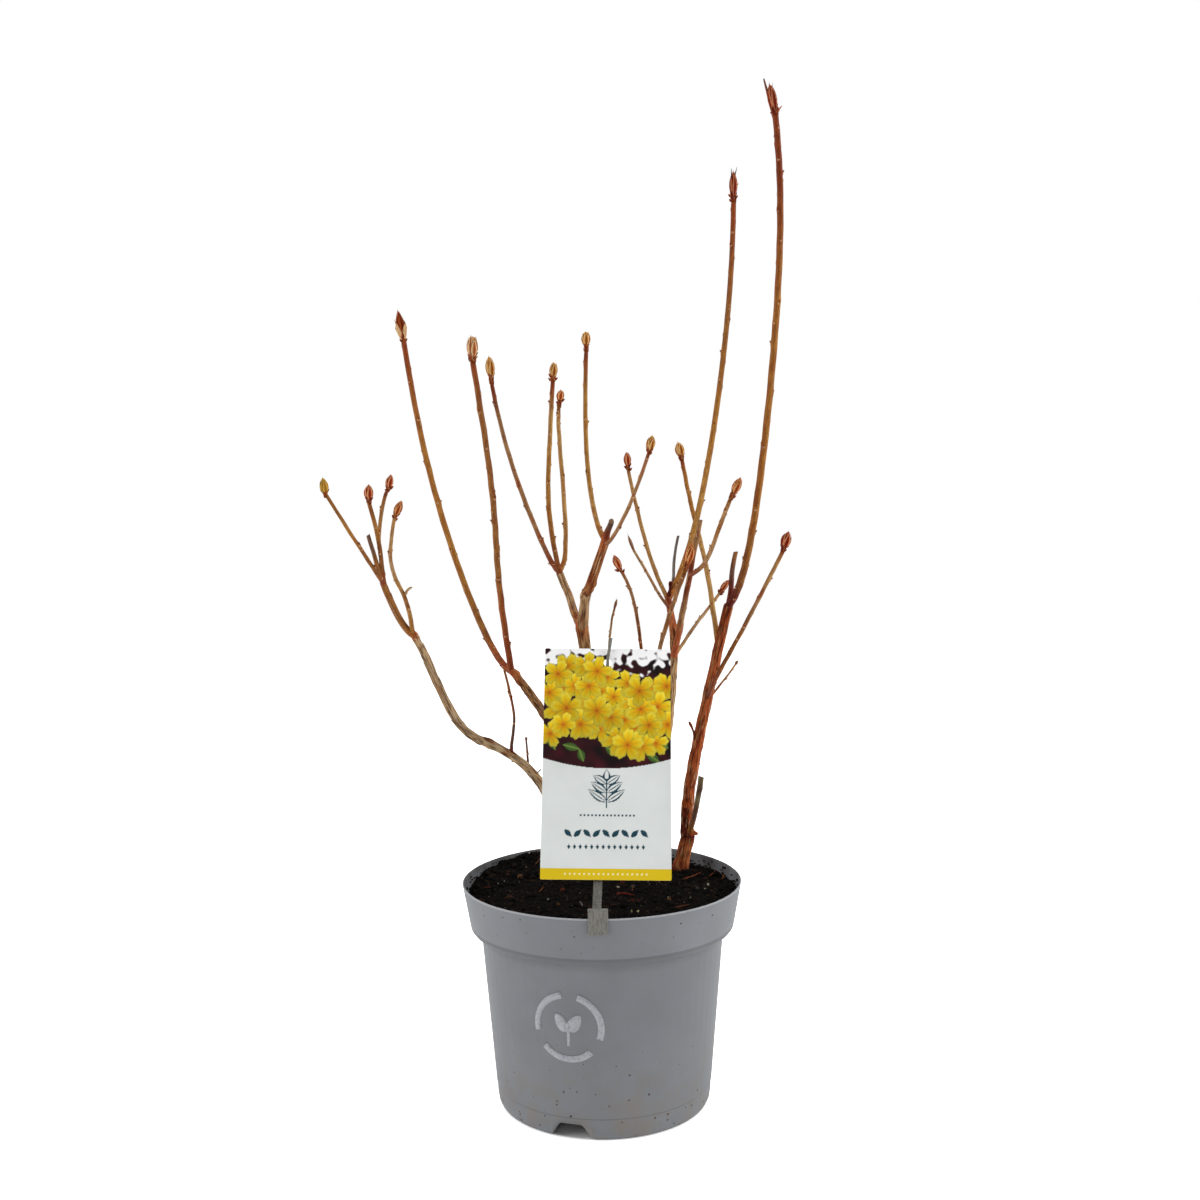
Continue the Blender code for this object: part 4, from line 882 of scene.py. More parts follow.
# Short dead spurs: limb, share, direction, length and thickness in millimetres, and bark
SPURS = (
    ("far_left_low", 0.99, (-0.8, -0.3, 0.9), 3.4, 1.7, "dead"),
    ("far_left_low", 0.77, (-1.0, -0.2, 0.15), 4.6, 1.2, "fibrous"),
    ("far_left_low", 0.66, (0.8, -0.3, 0.8), 4.8, 1.1, "dead"),
    ("right_stem", 0.52, (-0.34, -0.3, 1.0), 18.0, 2.2, "russet"),
    ("right_stem", 0.44, (1.0, -0.2, 0.1), 2.6, 1.0, "wine"),
    ("mid_left_bough", 0.78, (0.2, -0.5, 1.0), 2.4, 1.2, "wine"),
    ("inner_bough", 0.55, (-0.9, 0.4, 0.5), 3.0, 1.3, "dead"),
    ("inner_dead", 0.01, (0.12, 0.1, 1.0), 12.0, 3.0, "wine"),
    ("centre_bough", 0.4, (0.9, 0.5, 0.4), 3.2, 1.4, "dead"),
)

# End buds: each scale's pale margin, its face and its dark middle line, and the lowest scales' face
BUD_COLOURS = {
    "gold": ("#EFC88C", "#CE943A", "#7E300E", "#863410"),
    "orange": ("#EBB87E", "#C46A2A", "#822A0A", "#82300F"),
    "red": ("#E8B080", "#B84E1E", "#741C06", "#761F0C"),
    "deep": ("#D89A70", "#A23A18", "#601306", "#66190A"),
    "yellow": ("#D6B254", "#B88E32", "#966420", "#944E22"),
    "dark": ("#B05A24", "#9A4014", "#581A08", "#E6BE8C"),
    "striped": ("#F2D2A6", "#D6A470", "#98401C", "#7E2C10"),
    "sliver": ("#C4A48C", "#9A7252", "#7A4A34", "#7A4A34"),
}

# Each end bud: its colours, its width in millimetres, the share of its length that is a slim neck
# and how blunt its tip is
BudShape = namedtuple("BudShape", "colours width neck blunt", defaults=(0.0, 0.1))
BUD_SHAPES = {
    "far_left_outer": BudShape("yellow", 5.1),
    "far_left_upper": BudShape("red", 5.8, 0.12),
    "far_left_back": BudShape("red", 5.0, 0.12),
    "far_left_inner": BudShape("orange", 4.8, 0.16),
    "left_low_spur": BudShape("sliver", 1.9, 0.1),
    "mid_left_outer": BudShape("dark", 7.4, 0.04, -0.3),
    "mid_left_inner": BudShape("striped", 6.6, 0.22, 0.6),
    "centre_left_middle": BudShape("gold", 5.1, 0.26, 0.45),
    "centre_left_outer": BudShape("gold", 6.3, 0.3, 0.3),
    "centre_left_inner": BudShape("orange", 5.1, 0.42, 0.3),
    "centre_right_tall": BudShape("gold", 5.8, 0.36, 0.45),
    "centre_right_outer": BudShape("gold", 5.2, 0.1, 0.15),
    "inner_tall": BudShape("deep", 5.6, 0.2),
    "inner_back": BudShape("red", 5.2, 0.26, 0.15),
    "inner_front": BudShape("sliver", 2.1, 0.1),
    "fork_front": BudShape("orange", 5.2, 0.34, 0.2),
    "fine_back_twig": BudShape("red", 4.4, 0.16, 0.15),
    "front_right_shoot": BudShape("orange", 6.0, 0.3),
    "front_left_shoot": BudShape("red", 4.5, 0.14, 0.06),
    "fine_centre_twig": BudShape("sliver", 2.0, 0.1),
    "right_fine_twig": BudShape("sliver", 2.1, 0.1, 0.2),
    "right_outer_shoot": BudShape("deep", 6.4, 0.2),
    "right_inner_shoot": BudShape("gold", 6.6, 0.26, 0.1),
    "right_tall": BudShape("deep", 5.9, 0.18, 0.3),
}

# Loose long scales at end buds: limb, share of the bud's length, direction, length and width in
# millimetres, and colour
LOOSE_SCALES = (
    ("mid_left_outer", 0.1, (-0.48, -0.2, 1.0), 14.0, 1.7, "#D2B088"),
    ("mid_left_inner", 0.0, (-0.7, -0.4, 1.0), 5.0, 2.6, "#7A2E16"),
    ("mid_left_inner", -0.04, (0.75, -0.5, 1.0), 6.5, 3.2, "#D2A24A"),
    ("centre_left_outer", 0.1, (-0.5, -0.5, 1.0), 5.0, 2.2, "#A05028"),
    ("centre_left_outer", 0.14, (0.25, -0.7, 1.0), 6.0, 1.6, "#F0D8C0"),
    ("front_right_shoot", 0.1, (-0.4, -0.5, 1.0), 8.0, 2.2, "#D8A05A"),
    ("inner_tall", 0.3, (0.55, -0.35, 1.0), 8.0, 3.2, "#C68C46"),
    ("inner_tall", 0.1, (-0.5, -0.5, 1.0), 7.0, 2.4, "#A8582E"),
    ("right_tall", -0.02, (0.6, -0.3, 1.0), 8.5, 3.2, "#B4623E"),
    ("right_tall", 0.26, (0.2, -0.5, 1.0), 8.5, 1.7, "#DCB090"),
    ("inner_tall", 0.5, (-0.14, -0.3, 1.0), 13.5, 2.4, "#3E1A14"),
    ("inner_tall", 0.52, (0.2, -0.1, 1.0), 14.0, 2.2, "#4A2620"),
    ("right_tall", 0.62, (-0.2, 0.0, 1.0), 10.0, 1.5, "#9A8A80"),
    ("right_tall", 0.62, (0.05, -0.2, 1.0), 9.0, 1.4, "#8A7A72"),
    ("fine_centre_twig", 0.6, (0.1, 0.0, 1.0), 4.0, 0.6, "#B9A89A"),
    ("inner_front", 0.7, (-0.35, 0.0, 1.0), 5.5, 0.6, "#B9A89A"),
)


@functools.cache
def root_of(name):
    limb = LIMBS[name]
    if limb.parent:
        return along(limb.parent, limb.share)
    x, y = FEET[name]
    return Vector((x * MM, y * MM, SOIL_SEAT + STEM_FOOT))


def along(name, share):
    """The point on a limb's middle line at a share of its length."""
    limb = LIMBS[name]
    bow = Vector(limb.bow) * MM * 4 * share * (1 - share)
    sway = Vector((limb.sway[0], 0, limb.sway[1])) * MM * math.sin(math.tau * share)
    return root_of(name).lerp(Vector(limb.tip) * MM, share) + bow + sway


def length_of(name):
    return (Vector(LIMBS[name].tip) * MM - root_of(name)).length


def radius_at(name, share):
    first, last = LIMBS[name].thick
    return (first + (last - first) * share) / 2 * MM


@functools.cache
def carries_on(name):
    """Whether another limb goes on from this one's tip."""
    return any(limb.parent == name and limb.share > CARRIED_FROM for limb in LIMBS.values())


def bark_radius(name, run):
    """A limb's radius at a distance from its root, with the swelling where it leaves its parent."""
    limb = LIMBS[name]
    length = length_of(name)
    radius = radius_at(name, run / length)
    if limb.parent and limb.share > CARRIED_FROM:
        within = radius_at(limb.parent, limb.share)
        ease = max(0, 1 - run / (3.2 * within)) ** 2
        radius += (within - radius) * ease
    elif limb.parent:
        within = radius_at(limb.parent, limb.share)
        radius *= 1 + COLLAR_SWELL * math.exp(-run / COLLAR_REACH)
        out = min(1, run / within)
        radius = radius * out + min(radius, ROOT_SHARE * within) * (1 - out)
    else:
        radius *= 1 + FOOT_SWELL * math.exp(-run / FOOT_REACH)
    left = (length - run) / radius
    if left < 1 and limb.bud is None and name not in CUT_ENDS and not carries_on(name):
        radius *= math.sqrt(max(0, 1 - (1 - left) ** 2))
    return radius


Station = namedtuple("Station", "share run centre ahead left up radius")


@functools.cache
def spine(name, step):
    """Stations along a limb, each with its distance from the root and the directions across it."""
    length = length_of(name)
    count = max(6, round(length / step))
    rings = max(3, round(length / RING_STEP))
    lean = random.Random(name).uniform(0, math.tau)
    aside = Vector((math.cos(lean), math.sin(lean), 0)) * ZIGZAG
    centres = []
    for k in range(count + 1):
        at = k / count * rings
        ease = min(1, at, rings - at)
        centres.append(along(name, k / count) + aside * math.cos(math.pi * at) * ease)
    left = (centres[1] - centres[0]).orthogonal()
    stations = []
    for k, centre in enumerate(centres):
        ahead = (centres[min(k + 1, count)] - centres[max(k - 1, 0)]).normalized()
        left = (left - ahead * left.dot(ahead)).normalized()
        run = length * k / count
        stations.append(Station(k / count, run, centre, ahead, left, ahead.cross(left),
                                bark_radius(name, run)))
    return stations


def side_buds(name):
    """Each side bud's distance from the limb's root, foot, direction out and lean."""
    if name in BARE_LIMBS:
        return []
    chance = random.Random(name + " buds")
    length = length_of(name)
    turn = chance.uniform(0, math.tau)
    buds = []
    at = SCAR_STEP * chance.uniform(0.7, 1.2)
    while at < length - SCAR_LENGTH:
        share = at / length
        ahead = (along(name, share + 0.01) - along(name, share - 0.01)).normalized()
        out = ahead.orthogonal().normalized()
        out.rotate(Matrix.Rotation(turn, 3, ahead))
        lean = ahead * math.cos(SCAR_OPENING) + out * math.sin(SCAR_OPENING)
        buds.append((at, along(name, share) + out * radius_at(name, share), out, lean))
        turn += GOLDEN_ANGLE
        at += SCAR_STEP * chance.uniform(0.8, 1.2)
    return buds


@functools.cache
def leaf_scars(name):
    """Scars without a bud between the side buds, closer together towards the tip."""
    if name in BARE_LIMBS or name in [limb for line in BOUGHS.values() for limb in line]:
        return []
    chance = random.Random(name + " scars")
    length = length_of(name)
    turn = chance.uniform(0, math.tau)
    scars = []
    at = length * 0.12
    while at < length - SCAR_LENGTH:
        share = at / length
        ahead = (along(name, share + 0.01) - along(name, share - 0.01)).normalized()
        out = ahead.orthogonal().normalized()
        out.rotate(Matrix.Rotation(turn, 3, ahead))
        scars.append((at, along(name, share) + out * radius_at(name, share), out, ahead))
        turn += GOLDEN_ANGLE
        at += (7 + 22 * (1 - share)) * MM * chance.uniform(0.6, 1.4)
    return scars


def lumps(place, size_mm):
    """Smooth noise from -1 to 1 whose lumps are about as large as a size in millimetres."""
    return noise.noise(place / (size_mm * MM))


def blend(first, second, share):
    share = min(1, max(0, share))
    return [a + (b - a) * share for a, b in zip(first, second)]


BARK_COLOURS = {name: [linear(colour) for colour in three] for name, three in BARKS.items()}


def bark_colour(name, share, sunny_and_lit, patch):
    """The bark's colour at a share of a limb: sunny_and_lit goes from its darker to its lighter side,
    partly the bark's own sun-weathering and partly painted shade and highlight.
    """
    run = BARK_RUNS.get(name, SHOOT_RUN)
    before, after = run[0], run[-1]
    for first, second in zip(run, run[1:]):
        if first[0] <= share <= second[0]:
            before, after = first, second
            break
    else:
        before = after
    span = max(1e-6, after[0] - before[0])
    mixed = [
        blend(a, b, (share - before[0]) / span)
        for a, b in zip(BARK_COLOURS[before[1]], BARK_COLOURS[after[1]])
    ]
    return blend(blend(mixed[0], mixed[1], sunny_and_lit), mixed[2], patch)


def new_growth():
    """An empty mesh whose points carry a colour and their place in the grain."""
    bm = bmesh.new()
    bm.verts.layers.float_color.new("tint")
    bm.verts.layers.float_vector.new("grain")
    return bm


def gather(bm, shapes, make, batch=40):
    """Makes shapes a few at a time in small meshes, which is far quicker than in the large one."""
    for k in range(0, len(shapes), batch):
        few = new_growth()
        for shape in shapes[k:k + batch]:
            make(few, *shape)
        mesh = bpy.data.meshes.new("few")
        few.to_mesh(mesh)
        few.free()
        bm.from_mesh(mesh)
        bpy.data.meshes.remove(mesh)


def new_piece(name, bm, material, nodes=()):
    """Finishes a mesh as a piece that rides on the plant."""
    mesh = bpy.data.meshes.new(name)
    bm.to_mesh(mesh)
    bm.free()
    mesh.shade_smooth()
    piece = bpy.data.objects.new(name, mesh)
    bpy.context.collection.objects.link(piece)
    piece.data.materials.append(material)
    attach(piece, "root")
    if nodes:
        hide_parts(*nodes)
    return piece


def kept_inside(bm):
    """Draws back the few points that would stand outside the model's box."""
    low, high = CAD_BOX
    for vert in bm.verts:
        vert.co = [min(max(c, a), b) for c, a, b in zip(vert.co, low, high)]


def wrap_bark(bm, name, step, sides, depth):
    """Wraps a grid round a limb into a closed tube with fibres, knots and swellings under buds."""
    tint = bm.verts.layers.float_color["tint"]
    grain = bm.verts.layers.float_vector["grain"]
    stations = spine(name, step)
    cut = name in CUT_ENDS
    rows = [(stations[0], 0, 0), *((station, 1, 0) for station in stations)]
    if carries_on(name):
        rows += [(stations[-1], math.cos(turn), math.sin(turn)) for turn in (0.5, 1.0, 1.3)]
    rows += [(stations[-1], 0.8, 0)] * cut + [(stations[-1], 0, 1 if carries_on(name) else 0)]
    chance = random.Random(name + " bark")
    shift = Vector([chance.uniform(-9, 9) for _ in range(3)])
    sunny_and_lit_turn = chance.uniform(0, math.tau)
    swells = [(at, out, 0.45 * MM, 1.8 * MM) for at, _, out, _ in side_buds(name)]
    swells += [(at, out, 0.25 * MM, 1.3 * MM) for at, _, out, _ in leaf_scars(name)]
    length = length_of(name)
    for limb, share, out, height, reach in KNOTS:
        if limb == name:
            swells.append((share * length, Vector(out).normalized(), height * MM, reach * MM))
    grid = bmesh.ops.create_grid(bm, x_segments=sides, y_segments=len(rows) - 1, size=1)
    turns = [math.tau * (k % sides) / sides for k in range(sides + 1)]
    near = []
    for k, vert in enumerate(grid["verts"]):
        row, column = divmod(k, sides + 1)
        station, size, past = rows[row]
        if column == 0:
            near = [swell for swell in swells if abs(swell[0] - station.run) < 2.5 * swell[3]]
        turn = turns[column]
        out = station.left * math.cos(turn) + station.up * math.sin(turn)
        flat = Vector((math.cos(turn), math.sin(turn), 0)) * station.radius
        fibre = Vector((flat.x, flat.y, station.run * 0.12)) + shift
        streak = lumps(Vector((flat.x, flat.y, station.run * 0.3)) + shift, 2.2)
        patch = lumps(Vector((flat.x, flat.y, station.run * 0.5)) - shift, 5)
        radius = station.radius
        radius += depth * (lumps(fibre, 1.1) + 0.8 * streak + 0.9 * patch) * min(1, station.radius / MM)
        for at, toward, height, reach in near:
            facing = max(0, out.dot(toward))
            radius += height * facing**2 * math.exp(-((station.run - at) / reach) ** 2)
        vert.co = station.centre + out * radius * size + station.ahead * station.radius * past
        if cut and station.share == 1:
            vert.co += station.ahead * (0.5 * station.radius * math.cos(turn) * size)
        vert[grain] = fibre
        # One side of each limb is painted lighter and the other darker: partly the sunny side's own colour,
        # partly painted light and shade
        sunny_and_lit = 0.5 + 0.28 * math.cos(turn - sunny_and_lit_turn) + 0.55 * streak
        vert[tint] = bark_colour(name, station.share, sunny_and_lit, 2.2 * patch - 0.4)
        limb, start, end = WINE_PATCH
        if name == limb and start <= station.share <= end and out.x < 0.2:
            vert[tint] = blend(vert[tint], BARK_COLOURS["wine"][0], 0.85)
        if cut and station.share == 1 and size < 1:
            vert[tint] = linear(END_GRAIN)
    bmesh.ops.remove_doubles(bm, verts=grid["verts"], dist=WELD)


def bud_radius(name, at):
    """An end bud's radius at a share of its length."""
    shape = BUD_SHAPES[name]
    shoot, widest = radius_at(name, 1), shape.width / 2 * MM
    if at < shape.neck:
        return shoot
    body = (at - shape.neck) / (1 - shape.neck)
    high, slender = 0.5 + 0.4 * shape.blunt, min(0, shape.blunt)
    outline = ((0.0, shoot), (0.14, max(shoot, 0.76 * widest)), (0.36, widest),
               (0.6, (0.93 + 0.6 * slender) * widest), (0.82, high * widest),
               (1.0, max(0, shape.blunt) * widest))
    for (start, first), (end, second) in zip(outline, outline[1:]):
        if body <= end:
            return first + (second - first) * (body - start) / (end - start)
    return outline[-1][1]


def bud_axes(name):
    """An end bud's foot, its length along its own direction, and the directions across it."""
    bud = Vector(LIMBS[name].bud) * MM
    ahead = bud.normalized()
    left = ahead.orthogonal().normalized()
    return Vector(LIMBS[name].tip) * MM, bud, left, ahead.cross(left)


def make_core(bm, name):
    """The heart of an end bud, which shows between its scales, with the neck below them."""
    tint = bm.verts.layers.float_color["tint"]
    shape = BUD_SHAPES[name]
    foot, bud, left, up = bud_axes(name)
    ball = bmesh.ops.create_uvsphere(bm, u_segments=14, v_segments=16, radius=1)
    heart, neck = linear(BUD_COLOURS[shape.colours][2]), bark_colour(name, 1, 0.3, 0)
    tip = linear(BUD_COLOURS[shape.colours][1])
    for vert in ball["verts"]:
        at = (vert.co.z + 1) / 2
        across = Vector((vert.co.x, vert.co.y))
        out = left * across.x + up * across.y
        if across.length > 0:
            out = out / across.length * min(1, 2.2 * across.length)
        vert.co = foot + bud * (at * 1.02 - 0.04) + out * bud_radius(name, at) * 0.97
        vert[tint] = blend(blend(neck, heart, (at - shape.neck + 0.05) * 9), tip, (at - 0.6) * 4)


def make_scales(bm, name):
    """The scales of an end bud: short ones round its foot, and long ones in a spiral to its tip."""
    tint = bm.verts.layers.float_color["tint"]
    settings = bpy.context.scene.azalea_buds
    shape = BUD_SHAPES[name]
    foot, bud, left, up = bud_axes(name)
    margin, face, line, low = [linear(c) for c in BUD_COLOURS[shape.colours]]
    chance = random.Random(name + " scales")
    slim, dark = shape.colours == "sliver", shape.colours == "dark"
    short = 0 if slim else 6
    count = 3 if slim else settings.scale_count
    for k in range(count):
        place = max(0, (k - short) / max(1, count - short - 1))
        if k < short and dark:
            start, end, half_width = -0.05, chance.uniform(0.42, 0.62), math.radians(46)
        elif k < short:
            # The short scales clothe the neck, and the lowest of them are the shortest.
            start = -shape.neck / (1 - shape.neck) * (1 - k / short) * 0.7 - 0.08
            end, half_width = start + chance.uniform(0.24, 0.36), math.radians(44)
        else:
            start, end = 0.0 + 0.08 * place, (0.8 + 0.24 * place) * chance.uniform(0.95, 1.05)
            half_width = math.radians(48 - 14 * place) * chance.uniform(0.9, 1.1)
        turn_0 = k * GOLDEN_ANGLE + chance.uniform(-0.2, 0.2)
        opening = (0.1 + 0.25 * max(0, shape.blunt)) * chance.uniform(0.3, 1) * (2 if k < short else 1)
        stand_off = (0.3 - 0.22 * place) * (0.3 if slim else 1)
        light = chance.uniform(0.82, 1.1)
        ball = bmesh.ops.create_uvsphere(bm, u_segments=16, v_segments=12, radius=1)
        for vert in ball["verts"]:
            y = (vert.co.z + 1) / 2
            girth = math.sqrt(max(1e-9, 1 - vert.co.z**2))
            x = vert.co.x / max(girth, 1e-4)
            z = vert.co.y / max(girth, 1e-4)
            at = shape.neck + (1 - shape.neck) * (start + (end - start) * y)
            width = half_width * min(1, 0.6 + 1.6 * y) * (1 - y**2.2) ** 0.8 * min(1, 3 * girth)
            turn = turn_0 + width * x
            out = left * math.cos(turn) + up * math.sin(turn)
            radius = bud_radius(name, min(1, at)) * (1 + opening * y * y)
            radius += (stand_off - 0.1 * x * x + 0.07 * z * (1 - 0.6 * y)) * MM
            vert.co = foot + bud * at + out * radius
            if k < short:
                colour = blend(blend(low, line, 0.3), low, abs(x) * 3)
                colour = blend(colour, margin, 0.5 * max((abs(x) - 0.6) * 3, (y - 0.8) * 5))
            else:
                colour = blend(line, face, (abs(x) - 0.26) * 4)
                colour = blend(colour, margin, max((abs(x) - 0.55) * 4, (y - 0.85) * 5))
                colour = blend(colour, line, (abs(x) - 0.9) * 8)
            vert[tint] = [c * light for c in colour[:3]] + [1]


def make_blade(bm, foot, direction, length, width, colour, dark_tip=True):
    """A thin pointed scale or sliver with a slight curve."""
    tint = bm.verts.layers.float_color["tint"]
    side = direction.orthogonal().normalized()
    face = direction.cross(side)
    ball = bmesh.ops.create_uvsphere(bm, u_segments=8, v_segments=8, radius=1)
    for vert in ball["verts"]:
        y = (vert.co.z + 1) / 2
        taper = 1 - 0.7 * y
        across = side * vert.co.x * width / 2 * taper + face * vert.co.y * width / 5 * taper
        bend = face * (0.25 * width * math.sin(math.pi * y))
        vert.co = foot + direction * length * y + across + bend
        vert[tint] = blend(colour, linear("#2E1A14"), (y - 0.6) if dark_tip else 0)


def make_side_bud(bm, foot, lean, out, size):
    """A small pointed bud that leans off its shoot, dark with a pale tip."""
    tint = bm.verts.layers.float_color["tint"]
    ball = bmesh.ops.create_uvsphere(bm, u_segments=8, v_segments=6, radius=1)
    side = lean.orthogonal().normalized()
    face = lean.cross(side)
    dark, pale = linear("#6E2410"), linear("#A8602E")
    for vert in ball["verts"]:
        y = (vert.co.z + 1) / 2
        taper = (1 - 0.65 * y) * size * 0.42
        across = side * vert.co.x + face * vert.co.y
        vert.co = foot - out * 0.3 * MM + lean * size * 1.15 * y + across * taper
        vert[tint] = blend(dark, pale, 1.4 * y - 0.5)


def make_scar(bm, foot, out, ahead, size):
    """A leaf scar: a low oval pad with a pale rim."""
    tint = bm.verts.layers.float_color["tint"]
    side = out.cross(ahead).normalized()
    ball = bmesh.ops.create_uvsphere(bm, u_segments=10, v_segments=6, radius=1)
    dark, pale = linear("#8A4A22"), linear("#E2BE98")
    for vert in ball["verts"]:
        rim = math.hypot(vert.co.x, vert.co.y)
        across = side * vert.co.x * 0.62 + ahead * vert.co.y * 0.5
        high = out * (0.32 * vert.co.z - 0.12 * (1 - rim))
        vert.co = foot + (across + high) * size
        vert[tint] = blend(dark, pale, (rim - 0.45) * 2.5)


# Pot and soil


def collar_radius(height):
    """The collar's outer radius at a height."""
    share = (height - COLLAR_FOOT) / (POT_HEIGHT - COLLAR_FOOT)
    return COLLAR_RADIUS + (RIM_RADIUS - COLLAR_RADIUS) * share


def body_radius(height):
    """The body's outer radius at a height, between its seam and its shoulder."""
    share = (height - SEAM_HEIGHT) / (BODY_TOP - SEAM_HEIGHT)
    return SEAM_RADIUS + (BODY_RADIUS - SEAM_RADIUS) * share


def soil_height(x, y):
    """The soil's surface: banked up at the back left, lower at the left, flat under the stems."""
    heading = math.atan2(y, x)
    out = min(1, math.hypot(x, y) / COLLAR_RADIUS)
    back_left = max(0, math.cos(heading - math.radians(125))) ** 2
    left = max(0, math.cos(heading - math.radians(190))) ** 4
    height = SOIL_SEAT + out**3 * (7.5 * back_left - 6.0 * left) * MM
    ripple = math.sin(x * 190 + 1) * math.cos(y * 230) + math.sin(x * 97 - y * 131)
    height += SOIL_PATCH * ripple
    for foot_x, foot_y in FEET.values():
        away = math.hypot(x - foot_x * MM, y - foot_y * MM) / SEAT_RADIUS
        share = min(1, max(0, 2 * away - 1.6))
        height = SOIL_SEAT * (1 - share) + height * share
    return height


def welded_copy(node):
    """A copy of a node's mesh with its corners joined, so that its curves can be shaded smooth."""
    bm = bmesh.new()
    bm.from_mesh(frame["nodes"][node].data)
    bmesh.ops.remove_doubles(bm, verts=bm.verts, dist=WELD)
    return bm


def shade_by_angle(piece, degrees):
    piece.data.set_sharp_from_angle(angle=math.radians(degrees))


def make_mark(settings):
    """A printed mark of our own on the pot: a ring in three parts round a sprig with two leaves."""
    bm = bmesh.new()
    ring, band = settings.mark_size / 2, settings.mark_size * 0.1
    for k in range(3):
        start = math.radians(100 + 120 * k)
        section = [bm.verts.new(((ring + side * band / 2) * math.cos(start), 0,
                                 (ring + side * band / 2) * math.sin(start))) for side in (-1, 1)]
        edge = bm.edges.new(section)
        bmesh.ops.spin(bm, geom=[*section, edge], cent=(0, 0, 0), axis=(0, -1, 0),
                       angle=math.radians(92), steps=20, use_merge=False, use_duplicate=False)
    for side in (-1, 1):
        leaf = bmesh.ops.create_circle(bm, cap_ends=True, segments=20, radius=1)["verts"]
        for vert in leaf:
            along_leaf = (vert.co.y + 1) / 2
            width = vert.co.x * (1 - 0.45 * along_leaf)
            spot = Vector((0.24 * width, 0, 0.62 * along_leaf)) * ring
            spot.rotate(Matrix.Rotation(side * math.radians(34), 3, "Y"))
            vert.co = spot + Vector((side * 0.03, 0, -0.12)) * ring
    stem = bmesh.ops.create_grid(bm, x_segments=1, y_segments=6, size=1)["verts"]
    for vert in stem:
        vert.co = Vector((0.045 * vert.co.x, 0, 0.24 * vert.co.y - 0.34)) * ring
    bmesh.ops.triangulate(bm, faces=[face for face in bm.faces if len(face.verts) > 4])
    bmesh.ops.subdivide_edges(bm, edges=[e for e in bm.edges if e.calc_length() > 3 * MM], cuts=1)
    bmesh.ops.recalc_face_normals(bm, faces=bm.faces)
    bmesh.ops.solidify(bm, geom=bm.faces, thickness=0.2 * MM)
    centre = sum((v.co.y for v in bm.verts)) / len(bm.verts)
    for vert in bm.verts:
        height = settings.mark_height + vert.co.z
        radius = body_radius(height) + (0.1 * MM if vert.co.y < centre else -0.1 * MM)
        turn = settings.mark_heading + vert.co.x / radius
        vert.co = (radius * math.cos(turn), radius * math.sin(turn), height)
    bmesh.ops.recalc_face_normals(bm, faces=bm.faces)
    return bm


# Bark slivers, roots and loose bits on the soil: two ends in millimetres, width and colour
SLIVERS = (
    ((56, 20), (71, 36), 3.4, "#A0522E"),
    ((75, 27), (82, 45), 2.8, "#94492A"),
    ((20, -8), (21, 4), 1.8, "#B0602E"),
    ((-43, -5), (-40, 4), 1.6, "#A85A2C"),
    ((-15, -29), (-11, -51), 1.5, "#8A857C"),
    ((10, 24), (16, 12), 3.0, "#6A241A"),
    ((19, -26), (26, -34), 2.6, "#5E1E16"),
    ((12, -12), (22, -20), 2.2, "#6A241A"),
    ((-20, 40), (-8, 46), 2.4, "#7A4424"),
    ((-48, 52), (-44, 66), 2.0, "#8A5A34"),
    ((30, 62), (44, 58), 2.6, "#7A3E22"),
    ((-64, -8), (-56, -20), 2.0, "#4A2C1C"),
    ((46, -48), (58, -40), 2.0, "#5A3420"),
    ((84, 22), (86, 34), 2.0, "#A8582A"),
)

# Perlite and other pale grains on the soil: place and width in millimetres, and colour
PALE_GRAINS = (
    (73, 6, 2.2, "#CFCBB4"), (70, -6, 1.8, "#BFBBA0"), (11, 1, 2.4, "#C6BFA6"),
    (-36, -23, 1.8, "#B5B09A"), (19, -54, 2.4, "#CFC98E"), (23, -54, 2.2, "#D6CF96"),
    (-54, 45, 1.8, "#B8AF98"), (-53, 72, 1.8, "#C6BFAA"), (40, 15, 1.5, "#A8A08C"),
    (44, -25, 1.6, "#B0A890"), (59, -25, 1.6, "#C0B8A0"), (-20, -40, 1.4, "#9A9484"),
    (-10, 66, 1.8, "#C0BAA6"), (34, 74, 1.6, "#B6AE98"), (-68, 20, 1.5, "#A49C88"),
)


def make_surface():
    """The peat's rough surface: a thick sheet that lies on the soil's solid."""
    bm = bmesh.new()
    sides, rings = 144, 56
    rows = [(k / rings, 1) for k in range(rings + 1)] + [(1, 0), (0, 0)]
    grid = bmesh.ops.create_grid(bm, x_segments=sides, y_segments=len(rows) - 1, size=1)
    for k, vert in enumerate(grid["verts"]):
        row, column = divmod(k, sides + 1)
        share, top = rows[row]
        turn = -math.tau * (column % sides) / sides
        reach = (COLLAR_RADIUS - POT_WALL) * share
        x, y = reach * math.cos(turn), reach * math.sin(turn)
        height = soil_height(x, y)
        spread = (collar_radius(height) - POT_WALL) / (COLLAR_RADIUS - POT_WALL)
        spot = Vector((x * spread, y * spread, 0))
        rough = 1.1 * noise.noise(spot / (7 * MM)) + 0.7 * noise.noise(spot / (2.6 * MM))
        lift = 0.7 * MM + rough * MM if top else -2 * MM
        vert.co = spot + Vector((0, 0, height + lift))
    bmesh.ops.remove_doubles(bm, verts=bm.verts, dist=WELD)
    bmesh.ops.recalc_face_normals(bm, faces=bm.faces)
    return bm


